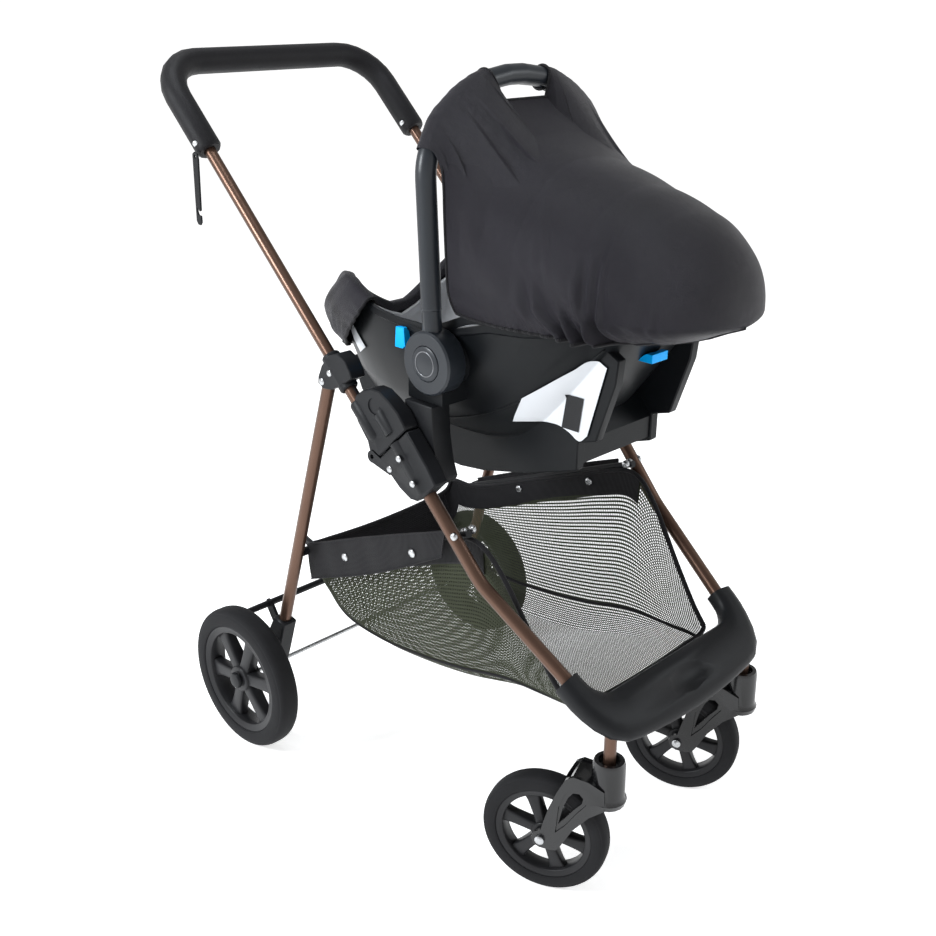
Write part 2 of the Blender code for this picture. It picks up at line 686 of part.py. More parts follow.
# Handle grip: a padded sleeve over the bend of the push tube
grip_start = Vector((PUSH_HALF, 0.3270, 0.8750))
grip_path = [p for p in push_path if p.y > 0.3300]
near_end = Vector((-grip_start.x, grip_start.y, grip_start.z))
grip_path = [near_end] + grip_path + [grip_start]


def grip_section(i):
    last = len(grip_path) - 1
    if i in (0, last):
        return circle(0.0160, 12)
    return circle(GRIP_RADIUS, 12)


lead = Vector((0, PUSH_ALONG.y, PUSH_ALONG.z)) * 0.005
grip_path = [near_end, near_end + lead] + grip_path[1:-1] + [grip_start + lead, grip_start]
grip = loft("handle_grip", sweep_rings(grip_path, grip_section, PUSH_UP), "leatherette", push_handle)
boolean(grip, tube(
    "cut_grip_bore", [near_end - lead * 6] + grip_path[2:-2] + [grip_start - lead * 6],
    PUSH_RADIUS + CLEARANCE, None, None, 12, PUSH_UP,
))

# Fold strap: a flat plastic hook that hangs from the near end of the grip
strap_outline = [
    (0.3330, 0.8755), (0.3265, 0.8725), (0.3250, 0.8660), (0.3265, 0.8150), (0.3270, 0.7960),
    (0.3300, 0.7945), (0.3320, 0.7985), (0.3345, 0.7985), (0.3355, 0.7940), (0.3330, 0.7895),
    (0.3272, 0.7890), (0.3270, 0.7800), (0.3300, 0.7755), (0.3350, 0.7760), (0.3385, 0.7810),
    (0.3385, 0.8150), (0.3375, 0.8660), (0.3375, 0.8725),
]
strap = plate("fold_strap", strap_outline, -0.2146, -0.2114, "black_plastic", strap_body, 0.0006, 1)
boolean(strap, turned(
    "cut_strap_pivot", [(0.205, 0.0025), (0.222, 0.0025)], (0, 0.3312, 0.8688), (-1, 0, 0), None, None, 12,
))

# Adaptors: posts inside the hinge casings that the carrier clicks on to
for sign in (-1, 1):
    tag = side_name(sign)
    adaptor_outline = [
        (-0.0400, 0.6027), (-0.0900, 0.6027), (-0.0925, 0.5600), (-0.0980, 0.5300), (-0.1060, 0.5080),
        (-0.1020, 0.5000), (-0.0860, 0.5000), (-0.0560, 0.5120), (-0.0420, 0.5400),
    ]
    adaptor = plate(
        f"adaptor_{tag}", adaptor_outline, sign * 0.1430, sign * 0.1751, "black_plastic", front_frame,
        0.0020, 2,
    )
    boolean(adaptor, block(
        f"cut_adaptor_slot_{tag}", (sign * 0.1500, -0.0780, 0.5740), (sign * 0.1650, -0.0520, 0.6100), None,
    ))
    boolean(adaptor, block(
        f"cut_adaptor_face_{tag}", (sign * 0.1400, -0.0820, 0.5300), (sign * 0.1450, -0.0500, 0.5640), None,
    ))


# Carrier: a moulded bucket with two rocker rails
BUCKET_MIDDLE = -0.05
BUCKET_FLOOR = 0.545
BUCKET_LEVELS = [
    # share of the height, half width, head end y, foot end y, squareness of the head and foot ends
    (0.000, 0.0880, -0.170, 0.128, 2.4, 3.0),
    (0.097, 0.1050, -0.200, 0.148, 2.5, 3.4),
    (0.290, 0.1180, -0.235, 0.164, 2.6, 3.8),
    (0.516, 0.1280, -0.265, 0.174, 2.8, 4.2),
    (0.742, 0.1350, -0.296, 0.172, 3.0, 4.4),
    (0.930, 0.1390, -0.326, 0.160, 3.2, 4.5),
]


def smooth(value):
    value = min(max(value, 0.0), 1.0)
    return value * value * (3 - 2 * value)


def rim_height(x, y):
    """The rim is low beside the pivots, rises to the head end and both foot corners, and dips between these."""
    side = 0.684 + 0.030 * smooth((-0.04 - y) / 0.10) + 0.020 * smooth((-0.15 - y) / 0.18)
    side += 0.037 * smooth(y / 0.13)
    dip = smooth((y - 0.03) / 0.09) * max(0.0, 1 - (abs(x) / 0.115) ** 1.3)
    return side + (0.652 - side) * dip


def level_at(share):
    """The bucket's plan at any share of its height."""
    for low, high in zip(BUCKET_LEVELS, BUCKET_LEVELS[1:]):
        if share <= high[0]:
            break
    mix = min((share - low[0]) / (high[0] - low[0]), 1.0)
    return (share, *[a + (b - a) * mix for a, b in zip(low[1:], high[1:])])


def oval(half, head, foot, square, foot_square, height, count=32):
    """A ring of points: a superellipse with its own squareness towards the head end and the foot end."""
    points = []
    for a in np.linspace(0, 2 * math.pi, count, endpoint=False):
        c, s = math.cos(a), math.sin(a)
        n = foot_square if s > 0 else square
        reach = foot - BUCKET_MIDDLE if s > 0 else BUCKET_MIDDLE - head
        x = half * math.copysign(abs(c) ** (2 / n), c)
        y = BUCKET_MIDDLE + reach * math.copysign(abs(s) ** (2 / n), s)
        points.append((x, y, height(x, y)))
    return points


def bucket_ring(level, grow, lift=0.0, count=32, rise=0.0):
    share, half, head, foot, square, foot_square = level
    return oval(
        half + grow, head - grow, foot + grow, square, foot_square,
        lambda x, y: BUCKET_FLOOR + lift + (rim_height(x, y) - BUCKET_FLOOR - lift) * share + rise, count,
    )


WALL = 0.004
lip_under = (0.945, *BUCKET_LEVELS[-1][1:])
lip_top = (1.0, *BUCKET_LEVELS[-1][1:])
shell_rings = [bucket_ring(level, 0.0) for level in BUCKET_LEVELS]
shell_rings += [bucket_ring(lip_under, 0.0028), bucket_ring(lip_top, 0.0024), bucket_ring(lip_top, -WALL)]
shell_rings += [bucket_ring(level, -WALL, WALL) for level in reversed(BUCKET_LEVELS)]
shell = loft("carrier_shell", shell_rings, "black_plastic", carrier)

# Rails, bosses and receivers end halfway through the wall
inside_rings = [bucket_ring(level, -WALL / 2, WALL / 2) for level in BUCKET_LEVELS]
inside_rings.append(bucket_ring((1.15, *BUCKET_LEVELS[-1][1:]), -WALL / 2))
inside = loft("cut_bucket_inside", inside_rings, None)

RAIL = [
    (0.170, 0.594), (0.149, 0.549), (0.100, 0.515), (0.050, 0.499), (0.000, 0.490), (-0.050, 0.488),
    (-0.092, 0.493), (-0.172, 0.512), (-0.250, 0.538), (-0.250, 0.575), (-0.277, 0.583), (-0.302, 0.660),
    (-0.305, 0.690), (-0.287, 0.700), (-0.262, 0.690), (-0.235, 0.640), (-0.190, 0.612), (-0.152, 0.609),
    (-0.093, 0.578), (0.030, 0.575), (0.130, 0.598), (0.162, 0.598),
]
cross = [
    (-0.247, 0.543), (-0.247, 0.572), (-0.225, 0.600), (-0.150, 0.580), (-0.150, 0.552), (-0.200, 0.548),
]
tie = plate("cut_tie", cross, -0.070, 0.070, None)
boolean(tie, inside)
boolean(shell, tie, "UNION")
for sign in (-1, 1):
    tag = side_name(sign)
    rail = plate(f"cut_rail_{tag}", RAIL, sign * 0.0830, sign * 0.0680, None, None, 0.0016, 1)
    boolean(rail, inside)
    boolean(shell, rail, "UNION")
    boss = turned(
        f"cut_boss_{tag}", [(0.118, 0.036), (0.1428, 0.033)], (0, *CARRIER_PIVOT), (sign, 0, 0),
        None, None, 20,
    )
    boolean(boss, inside)
    boolean(shell, boss, "UNION")
    receiver = block(
        f"cut_receiver_{tag}", (sign * 0.1105, -0.0985, 0.6031), (sign * 0.1650, -0.0375, 0.6555), None,
    )
    boolean(receiver, inside)
    boolean(receiver, turned(
        f"cut_receiver_disc_{tag}", [(0.1426, 0.0415), (0.1800, 0.0415)], (0, *CARRIER_PIVOT), (sign, 0, 0),
        None, None, 24,
    ))
    boolean(receiver, block(
        f"cut_receiver_slot_{tag}", (sign * 0.1480, -0.0780, 0.5900), (sign * 0.1600, -0.0520, 0.6090), None,
    ))
    boolean(shell, receiver, "UNION")

# Belt guides: blue hooks on both sides and at the head end
fat_rings = [bucket_ring(level, 0.0004) for level in BUCKET_LEVELS]
fat_rings += [bucket_ring(lip_under, 0.0032), bucket_ring((1.05, *BUCKET_LEVELS[-1][1:]), 0.0032)]
fat_shell = loft("cut_fat_shell", fat_rings, None)
for sign in (-1, 1):
    tag = side_name(sign)
    hook = [(0.0060, 0.6560), (0.0040, 0.6830), (-0.0110, 0.6840), (-0.0130, 0.6600), (-0.0080, 0.6560)]
    guide = plate(f"belt_guide_{tag}", hook, sign * 0.1480, sign * 0.1300, "blue", carrier)
    boolean(guide, fat_shell)
head_guide = block("belt_guide_head", (-0.034, -0.3080, 0.6700), (0.034, -0.2700, 0.6900), "blue", carrier)
boolean(head_guide, fat_shell)

# Liner, harness and buckle inside the bucket
LINER_GAP = 0.0022
LINER = 0.013
liner_levels = BUCKET_LEVELS[:-1] + [level_at(0.900)]
liner_rings = [bucket_ring(level, -WALL - LINER_GAP, WALL + LINER_GAP) for level in liner_levels]
liner_rings += [
    bucket_ring(level, -WALL - LINER_GAP - LINER * (0.55 + 0.45 * math.sin(math.pi * min(1, level[0] + 0.1))),
                WALL + LINER_GAP + LINER)
    for level in reversed(liner_levels)
]
loft("seat_liner", liner_rings, "liner", carrier)


def bucket_height(x, y, grow, lift):
    """The height of the bucket's inner surface above a point, for an inset and a raised floor."""
    below = None
    rim = rim_height(x, y)
    for share, half, head, foot, square, foot_square in BUCKET_LEVELS:
        n = foot_square if y > BUCKET_MIDDLE else square
        reach = foot + grow - BUCKET_MIDDLE if y > BUCKET_MIDDLE else BUCKET_MIDDLE - head + grow
        inside_of = abs(x / (half + grow)) ** n + abs((y - BUCKET_MIDDLE) / reach) ** n
        if inside_of <= 1:
            if below is None:
                return BUCKET_FLOOR + lift
            mix = (below[1] - 1) / (below[1] - inside_of)
            share = below[0] + (share - below[0]) * mix
            return BUCKET_FLOOR + lift + (rim - BUCKET_FLOOR - lift) * share
        below = (share, inside_of)
    return rim


for sign in (-1, 1):
    tag = side_name(sign)
    rings = []
    for y in np.linspace(-0.236, -0.030, 12):
        x = sign * (0.018 + 0.026 * smooth((-0.03 - y) / 0.16))
        z = bucket_height(x, y, -WALL - LINER_GAP - LINER - 0.0035, WALL + LINER_GAP + LINER + 0.0030)
        low, high = x - 0.0115, x + 0.0115
        rings.append([(low, y, z), (high, y, z), (high, y, z + 0.0022), (low, y, z + 0.0022)])
    loft(f"harness_strap_{tag}", rings, "webbing", carrier)
buckle_floor = BUCKET_FLOOR + WALL + LINER_GAP + LINER + 0.0010
buckle = block(
    "buckle", (-0.0190, -0.0260, buckle_floor), (0.0190, 0.0300, buckle_floor + 0.0150), "black_plastic",
    carrier, 0.0030, 2,
)
boolean(buckle, block(
    "cut_buckle", (-0.0112, -0.0060, buckle_floor + 0.0060), (0.0112, 0.0180, buckle_floor + 0.02), None,
))
buckle_body = body_axis("buckle_button_body", (0, 0.006, buckle_floor + 0.0125), carrier)
block(
    "buckle_button", (-0.0107, -0.0055, buckle_floor + 0.0100), (0.0107, 0.0175, buckle_floor + 0.0158), "red",
    buckle_body, 0.0010, 1,
)

# Foot cover: fabric with an elastic hem, drawn over the rim of the foot end
COVER_SKIN = [
    # share of the height, growth, more growth at the nose, rise: up the outside, over the rim, then inside
    (0.46, 0.0070, 0.002, 0.0), (0.60, 0.0145, 0.013, 0.0), (0.80, 0.0150, 0.017, 0.0),
    (0.95, 0.0115, 0.005, 0.0), (1.0, 0.0065, 0.0, 0.0050), (1.0, 0.0000, 0.0, 0.0078),
    (1.0, -0.0074, 0.0, 0.0056), (1.0, -0.0082, 0.0, -0.0060), (1.0, -0.0050, 0.0, -0.0060),
    (1.0, -0.0056, 0.0, 0.0034), (1.0, 0.0036, 0.0, 0.0024), (0.93, 0.0060, 0.004, 0.0),
    (0.80, 0.0120, 0.017, 0.0), (0.60, 0.0115, 0.013, 0.0), (0.46, 0.0030, 0.002, 0.0),
]


cover_rings = []
for share, grow, nose, rise in COVER_SKIN:
    level = list(level_at(share))
    level[3] += nose
    cover_rings.append(bucket_ring(level, grow, 0.0, 32, rise))
cover = loft("foot_cover", cover_rings, "nylon", carrier, closed=True)
hem = [
    (0.0500, 0.7600), (0.0560, 0.7150), (0.0700, 0.6900), (0.1050, 0.6550), (0.1370, 0.6220),
    (0.1500, 0.5700),
    (-0.4000, 0.5700), (-0.4000, 0.7600),
]
boolean(cover, plate("cut_cover_hem", hem, -0.20, 0.20, None))

# Carry handle: an arch with a round hub at each end, and a press button in each hub
HANDLE_TUBE = 0.0125
lean = 0.065


def handle_point(x, z):
    return Vector((x, CARRIER_PIVOT[0] + lean * (z - CARRIER_PIVOT[1]), z))


half_arch = [
    (-0.1600, CARRIER_PIVOT[1]), (-0.1590, 0.8950), (-0.1340, 0.9420), (-0.0780, 0.9770), (0.0, 0.9935),
]
arch = [handle_point(x, z) for x, z in half_arch]
arch += [handle_point(-x, z) for x, z in reversed(half_arch[:-1])]
arch_path = rounded_path(arch, [0.070, 0.080, 0.130, 0.200, 0.130, 0.080, 0.070], 14.0)
handle = tube("carry_handle", arch_path, HANDLE_TUBE, "gloss_plastic", carry_handle_body, 10, (0, 1, 0))
for sign in (-1, 1):
    tag = side_name(sign)
    disc = turned(
        f"cut_handle_disc_{tag}", [(0.1436, 0.0395), (0.1452, 0.0410), (0.1720, 0.0410), (0.1745, 0.0385)],
        (0, *CARRIER_PIVOT), (sign, 0, 0), None, None, 24,
    )
    boolean(handle, disc, "UNION")
    well = turned(
        f"cut_button_well_{tag}", [(0.1660, 0.0232), (0.1800, 0.0232)], (0, *CARRIER_PIVOT), (sign, 0, 0),
        None, None, 20,
    )
    boolean(handle, well)
    centre = Vector((sign * 0.1700, *CARRIER_PIVOT))
    button_body = body_axis(f"handle_button_body_{tag}", centre, carry_handle_body)
    turned(
        f"handle_button_{tag}",
        [(0.1697, 0.0226), (0.1752, 0.0226), (0.1764, 0.0200)], (0, *CARRIER_PIVOT), (sign, 0, 0),
        "black_plastic", button_body, 20,
    )

# Canopy: cloth from the carry handle to the rim at the head end, gathered along its hem
CANOPY_FRONT = -0.0920
CANOPY_TAIL = -0.4160
CANOPY_STATIONS = [
    # y, half width, level of the widest line, height above it, squareness
    (-0.0920, 0.1560, 0.7600, 0.2010, 5.0), (-0.1150, 0.1560, 0.7580, 0.1870, 3.4),
    (-0.1450, 0.1560, 0.7570, 0.1680, 2.5), (-0.1900, 0.1520, 0.7540, 0.1480, 2.15),
    (-0.2700, 0.1460, 0.7500, 0.1290, 2.05), (-0.3300, 0.1400, 0.7470, 0.1250, 2.05),
    (-0.4160, 0.1360, 0.7420, 0.1290, 2.05),
]
CANOPY_COUNT = 15
CANOPY_ROWS = 19


def canopy_shape(y):
    """Half width, widest level, height and squareness at one station."""
    for low, high in zip(CANOPY_STATIONS, CANOPY_STATIONS[1:]):
        if y >= high[0]:
            break
    mix = min(max((low[0] - y) / (low[0] - high[0]), 0.0), 1.0)
    half, level, rise, square = (a + (b - a) * mix for a, b in zip(low[1:], high[1:]))
    along = min(max((-0.235 - y) / (-0.235 - CANOPY_TAIL), 0.0), 1.0)
    closing = (1 - along ** 2.3) ** (1 / 2.3)
    return half * closing, level, rise * closing, square


def canopy_point(i, j):
    """Station i and row j: rows run from the near hem, tucked in under the widest line, to the far hem."""
    share = i / (CANOPY_COUNT - 1)
    y = CANOPY_FRONT + (CANOPY_TAIL + 0.0012 - CANOPY_FRONT) * math.sin(math.pi / 2 * share ** 0.92)
    half, level, rise, square = canopy_shape(y)
    tail = smooth((-0.29 - y) / 0.09)
    start = -24 - 52 * tail
    angle = math.radians(start + (180 - 2 * start) * j / (CANOPY_ROWS - 1))
    c, s = math.cos(angle), math.sin(angle)
    n = square if s > 0 else 2.0
    x = -half * math.copysign(abs(c) ** (2 / n), c)
    under = (0.085 - 0.047 * tail) * min(half / 0.13, 1.0)
    z = level + (rise * s ** (2 / n) if s > 0 else under * s)
    folds = 0.0030 * math.sin(math.pi * 5 * share) ** 2 * smooth((s + 0.1) / 0.4) * smooth((0.97 - s) / 0.2)
    x *= 1 - folds / 0.15
    lean_back = lean * (z - CARRIER_PIVOT[1]) - 0.0050 - 0.0070 * (1 - smooth((z - 0.86) / 0.06))
    y += lean_back * (1 - smooth(share * 3))
    return (x, y, z)


canopy_points = [canopy_point(i, j) for i in range(CANOPY_COUNT) for j in range(CANOPY_ROWS)]
canopy_faces = []
for i in range(CANOPY_COUNT - 1):
    for j in range(CANOPY_ROWS - 1):
        a = i * CANOPY_ROWS + j
        canopy_faces.append((a, a + 1, a + CANOPY_ROWS + 1, a + CANOPY_ROWS))
canopy = add_object("canopy", canopy_points, "nylon", carrier, canopy_faces)
cloth = canopy.modifiers.new("cloth", "SOLIDIFY")
cloth.thickness = 0.0024
cloth.offset = 0.0
cloth.use_even_offset = True

# Basket: an open tray of net under the seat, with a band of cloth along each side bar
BASKET_STATIONS = [
    # y, top z, floor z, half width at the top, half width at the floor
    (0.2050, 0.3240, 0.3020, 0.1560, 0.1500), (0.1880, 0.3230, 0.2600, 0.1600, 0.1500),
    (0.1650, 0.3220, 0.2240, 0.1630, 0.1500), (0.1250, 0.3330, 0.1930, 0.1635, 0.1500),
    (0.0470, 0.3650, 0.1810, 0.1640, 0.1500), (-0.0350, 0.3970, 0.1850, 0.1640, 0.1500),
    (-0.1080, 0.4270, 0.1950, 0.1640, 0.1490), (-0.1600, 0.4380, 0.2080, 0.1640, 0.1480),
    (-0.2000, 0.4050, 0.2200, 0.1600, 0.1470), (-0.2500, 0.3300, 0.2320, 0.1540, 0.1450),
    (-0.2850, 0.2800, 0.2400, 0.1500, 0.1440), (-0.3100, 0.2560, 0.2440, 0.1440, 0.1420),
]
basket_points = []
for y, top_z, floor_z, top_half, floor_half in BASKET_STATIONS:
    side = [(1.0, 0.0), (0.62, 0.0), (0.28, 0.03), (0.08, 0.12), (0.0, 0.30)]
    half_row = []
    for up, inwards in side:
        half = floor_half + (top_half - floor_half) * up
        half_row.append((half * (1 - inwards), floor_z + (top_z - floor_z) * up))
    row = [(-x, z) for x, z in half_row] + [(0.0, floor_z - 0.004)] + [(x, z) for x, z in reversed(half_row)]
    basket_points += [(x, y, z) for x, z in row]
columns = len(row)
basket_faces = []
for i in range(len(BASKET_STATIONS) - 1):
    for j in range(columns - 1):
        a = i * columns + j
        basket_faces.append((a, a + 1, a + columns + 1, a + columns))
basket = add_object("basket", basket_points, "nylon", side_bars, basket_faces)
net = basket.modifiers.new("net", "SOLIDIFY")
net.thickness = 0.0024
net.offset = 0.0
for sign in (-1, 1):
    band = [
        (0.1660, 0.3300), (0.0300, 0.3870), (-0.1190, 0.4450), (-0.1120, 0.4060), (0.0200, 0.3350),
        (0.1600, 0.2760),
    ]
    tag = side_name(sign)
    strip = plate(f"basket_band_{tag}", band, sign * 0.1778, sign * 0.1800, "nylon", side_bars)
    boolean(strip, turned(
        f"cut_band_eyelet_{tag}", [(0.1700, 0.0068), (0.1900, 0.0068)], (0, *SIDE_BAR_REAR), (sign, 0, 0),
        None, None, 16,
    ))
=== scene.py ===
import json
import math

import bmesh
import bpy
import numpy as np
from mathutils import Matrix, Vector


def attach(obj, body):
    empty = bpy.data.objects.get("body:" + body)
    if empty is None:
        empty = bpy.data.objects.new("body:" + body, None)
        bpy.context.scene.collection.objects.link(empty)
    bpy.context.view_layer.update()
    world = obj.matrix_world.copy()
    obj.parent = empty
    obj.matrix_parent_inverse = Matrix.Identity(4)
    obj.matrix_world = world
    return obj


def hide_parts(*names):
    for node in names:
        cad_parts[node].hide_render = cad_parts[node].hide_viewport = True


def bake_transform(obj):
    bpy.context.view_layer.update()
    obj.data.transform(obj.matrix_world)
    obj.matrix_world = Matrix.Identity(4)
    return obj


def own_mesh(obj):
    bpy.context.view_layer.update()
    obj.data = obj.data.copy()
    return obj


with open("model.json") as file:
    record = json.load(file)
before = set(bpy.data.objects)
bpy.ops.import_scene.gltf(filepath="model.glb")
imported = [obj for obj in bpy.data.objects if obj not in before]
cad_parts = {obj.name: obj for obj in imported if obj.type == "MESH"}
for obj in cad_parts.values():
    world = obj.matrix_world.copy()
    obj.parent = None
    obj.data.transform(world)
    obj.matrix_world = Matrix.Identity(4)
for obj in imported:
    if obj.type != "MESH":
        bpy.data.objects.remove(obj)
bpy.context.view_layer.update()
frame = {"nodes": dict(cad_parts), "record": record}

nodes = frame["nodes"]
body_of = {node: body for body, members in frame["record"]["behaviour"]["bodies"].items() for node in members}
SIDES = (("right", -1), ("left", 1))
SHIFT = -0.0205  # how far the whole part was moved in y to stand in the middle of its box
WHITE = (1, 1, 1, 1)

# Camera, light and floor: a studio view from the front right. The room is white at the horizon and dimmer
# overhead, with a soft lamp above, a strong one behind on the right and a weak one in front on the left. The
# wheels stand on white paper that reaches to the horizon and glows a little.
lens = bpy.data.cameras.new("camera")
lens.lens = 46.96
lens.clip_end = 50
camera = bpy.data.objects.new("camera", lens)
bpy.context.scene.collection.objects.link(camera)
camera.matrix_world = Matrix((
    (0.69741, 0.26168, -0.66719, -1.17518),
    (-0.71661, 0.26714, -0.64429, -1.11960 + SHIFT),
    (0.00963, 0.92745, 0.37383, 1.10077),
    (0, 0, 0, 1),
))
bpy.context.scene.camera = camera

world = bpy.data.worlds.new("white_room")
world.use_nodes = True
room = world.node_tree
direction = room.nodes.new("ShaderNodeTexCoord")
height = room.nodes.new("ShaderNodeSeparateXYZ")
dim = room.nodes.new("ShaderNodeMapRange")
dim.interpolation_type = "SMOOTHSTEP"
ROOM_LEVELS = (
    # between which heights the room grows dim, and how bright it is below and above them
    ("From Min", 0.10), ("From Max", 0.45), ("To Min", 1.05), ("To Max", 0.42),
)
for socket, value in ROOM_LEVELS:
    dim.inputs[socket].default_value = value
room.links.new(direction.outputs["Generated"], height.inputs["Vector"])
room.links.new(height.outputs["Z"], dim.inputs["Value"])
room.links.new(dim.outputs["Result"], room.nodes["Background"].inputs["Strength"])
room.nodes["Background"].inputs["Color"].default_value = WHITE
bpy.context.scene.world = world
bpy.context.scene.view_settings.view_transform = "Standard"
COOL_LIGHT = (0.92, 0.965, 1.0)
LIT_SPOT = Vector((0, 0, 0.45))
for name, place, power, size in (
    ("lamp_top", (-0.3, 0.5, 2.6), 22, 0.9),
    ("lamp_near", (-2.2, 0.9, 1.6), 52, 0.55),
    ("lamp_far", (1.6, -2.0, 1.8), 14, 0.8),
):
    lamp = bpy.data.lights.new(name, "AREA")
    lamp.energy = power
    lamp.color = COOL_LIGHT
    lamp.size = size
    holder = bpy.data.objects.new(name, lamp)
    bpy.context.scene.collection.objects.link(holder)
    holder.location = place
    holder.rotation_euler = (LIT_SPOT - Vector(place)).to_track_quat("-Z", "Y").to_euler()


def srgb(*shades):
    """A colour as seen on screen, 0 to 255, turned into the shader's light values."""
    part = np.array(shades, float) / 255
    light = np.where(part <= 0.04045, part / 12.92, ((part + 0.055) / 1.055) ** 2.4)
    return (*light.tolist(), 1.0)


class Wire:
    """An output socket of a finish. Sums, products and comparisons on it add Math nodes."""

    def __init__(self, finish, socket):
        self.finish, self.socket = finish, socket

    def math(self, operation, *values, clamp=False):
        settings = {"operation": operation, "use_clamp": clamp}
        return self.finish.node("ShaderNodeMath", settings, dict(enumerate(values)))

    def __add__(self, other):
        return self.math("ADD", self, other)

    def __radd__(self, other):
        return self.math("ADD", other, self)

    def __sub__(self, other):
        return self.math("SUBTRACT", self, other)

    def __mul__(self, other):
        return self.math("MULTIPLY", self, other)

    def __gt__(self, other):
        return self.math("GREATER_THAN", self, other)

    def sine(self):
        return self.math("SINE", self)

    def size(self):
        return self.math("ABSOLUTE", self)

    def larger(self, other):
        return self.math("MAXIMUM", self, other)

    def part(self):
        return self.math("FRACT", self)

    def limited(self):
        return self.math("ADD", self, 0.0, clamp=True)


class Finish:
    """One material: a Principled shader, and methods that add the nodes in front of it."""

    def __init__(self, name, color, roughness, metallic=0.0, coat=0.0, sheen=0.0, specular=0.22):
        self.material = bpy.data.materials.new(name)
        self.material.use_nodes = True
        self.tree = self.material.node_tree
        self.shader = self.tree.nodes["Principled BSDF"]
        for socket, value in (
            ("Base Color", color), ("Roughness", roughness), ("Metallic", metallic), ("Coat Weight", coat),
            ("Coat Roughness", 0.15), ("Sheen Weight", sheen), ("Sheen Roughness", 0.45),
            ("Specular IOR Level", specular),
        ):
            self.shader.inputs[socket].default_value = value

    def node(self, kind, settings=None, values=None, out=0):
        made = self.tree.nodes.new(kind)
        for key, value in (settings or {}).items():
            setattr(made, key, value)
        for key, value in (values or {}).items():
            if isinstance(value, Wire):
                self.tree.links.new(value.socket, made.inputs[key])
            else:
                made.inputs[key].default_value = value
        return Wire(self, made.outputs[out])

    def place(self):
        """The object's own x, y and z in metres."""
        return self.node("ShaderNodeTexCoord", out=3)

    def metres(self, which):
        """Metres on the piece's own map, across it (0) or along it (1)."""
        own_map = self.node("ShaderNodeTexCoord", out=2)
        return self.node("ShaderNodeSeparateXYZ", values={"Vector": own_map}, out=which)

    def noise(self, scale, detail=2.0, roughness=0.5):
        values = {"Vector": self.place(), "Scale": scale, "Detail": detail, "Roughness": roughness}
        return self.node("ShaderNodeTexNoise", values=values)

    def cells(self, scale, feature="F1"):
        values = {"Vector": self.place(), "Scale": scale}
        return self.node("ShaderNodeTexVoronoi", {"feature": feature}, values)

    def feed(self, socket, wire):
        self.tree.links.new(wire.socket, self.shader.inputs[socket])

    def relief(self, height, depth):
        """Raises the surface by height times depth, in metres."""
        bump = self.node("ShaderNodeBump", values={"Height": height, "Distance": depth, "Strength": 1.0})
        self.feed("Normal", bump)

    def tint(self, low, high, factor):
        values = {0: factor, 6: low, 7: high}
        self.feed("Base Color", self.node("ShaderNodeMix", {"data_type": "RGBA"}, values, out=2))

    def smeared(self, low, high, smears, dull, grain=None):
        """Noise of (scale, detail, roughness) mixes the tints and adds up to dull[1] to the roughness dull[0].
        A finer noise of the scale grain[0] raises the surface by grain[1]."""
        smears = self.noise(*smears)
        self.tint(low, high, smears)
        self.feed("Roughness", dull[0] + smears * dull[1])
        if grain:
            self.relief(self.noise(grain[0]), grain[1])


FLOOR_RADIUS = 200
FLOOR_CORNERS = 96
paper = Finish("floor_paper", WHITE, 0.9)
paper.tint((0.97, 0.97, 0.97, 1), WHITE, paper.noise(3.0))
paper.shader.inputs["Emission Color"].default_value = WHITE
paper.shader.inputs["Emission Strength"].default_value = 0.62
turn = np.linspace(0, 2 * math.pi, FLOOR_CORNERS, endpoint=False)
floor_edge = np.stack([FLOOR_RADIUS * np.cos(turn), FLOOR_RADIUS * np.sin(turn), 0 * turn], 1)
floor_mesh = bpy.data.meshes.new("floor")
floor_mesh.from_pydata(floor_edge.tolist(), [], [tuple(range(FLOOR_CORNERS))])
floor = bpy.data.objects.new("floor", floor_mesh)
bpy.context.scene.collection.objects.link(floor)
floor.data.materials.append(paper.material)

# Bronze tubes: the bent front tube with both legs, the push tube, the rear legs and the caster stems. They
# are drawn aluminium or steel tube, bent cold and coated in a satin metallic bronze.
bronze = Finish("satin_bronze", srgb(88, 67, 56), 0.34, metallic=0.8, coat=0.06)
flakes = bronze.cells(2600.0)
clouds = bronze.noise(22.0, 3.0)
bronze.tint(srgb(80, 59, 49), srgb(106, 83, 71), (flakes * 0.7 + clouds * 0.5).limited())
bronze.feed("Roughness", 0.24 + clouds * 0.10 + flakes * 0.06)
bronze.relief(flakes, 0.00002)


def dressed(node, finish, bevel, sharp=40.0):
    """A copy of a CAD node with its points merged and its hard edges rounded: what lies flat becomes one
    face, edges that turn by more than the sharp angle get a small bevel, and the rest is shaded smooth."""
    mesh = nodes[node].data.copy()
    mesh.materials.clear()
    work = bmesh.new()
    work.from_mesh(mesh)
    bmesh.ops.remove_doubles(work, verts=work.verts, dist=0.00002)
    bmesh.ops.dissolve_limit(work, angle_limit=math.radians(0.8), verts=work.verts, edges=work.edges)
    for face in work.faces:
        face.smooth = True
    for edge in work.edges:
        edge.smooth = not (edge.is_manifold and edge.calc_face_angle(0) > math.radians(sharp))
    work.to_mesh(mesh)
    work.free()
    piece = bpy.data.objects.new(f"{node}_skin", mesh)
    bpy.context.scene.collection.objects.link(piece)
    mesh.materials.append(finish.material)
    if bevel:
        round_off = piece.modifiers.new("round_off", "BEVEL")
        round_off.width = bevel
        round_off.segments = 2
        round_off.limit_method = "ANGLE"
        round_off.angle_limit = math.radians(sharp)
        round_off.harden_normals = True
        round_off.use_clamp_overlap = True
    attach(piece, body_of[node])
    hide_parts(node)
    return piece


def both(*names):
    return [f"{name}_{tag}" for name in names for tag, _ in SIDES]


for name in ["front_tube", "push_tube", *both("rear_leg", "caster_stem")]:
    dressed(name, bronze, bevel=0.0)

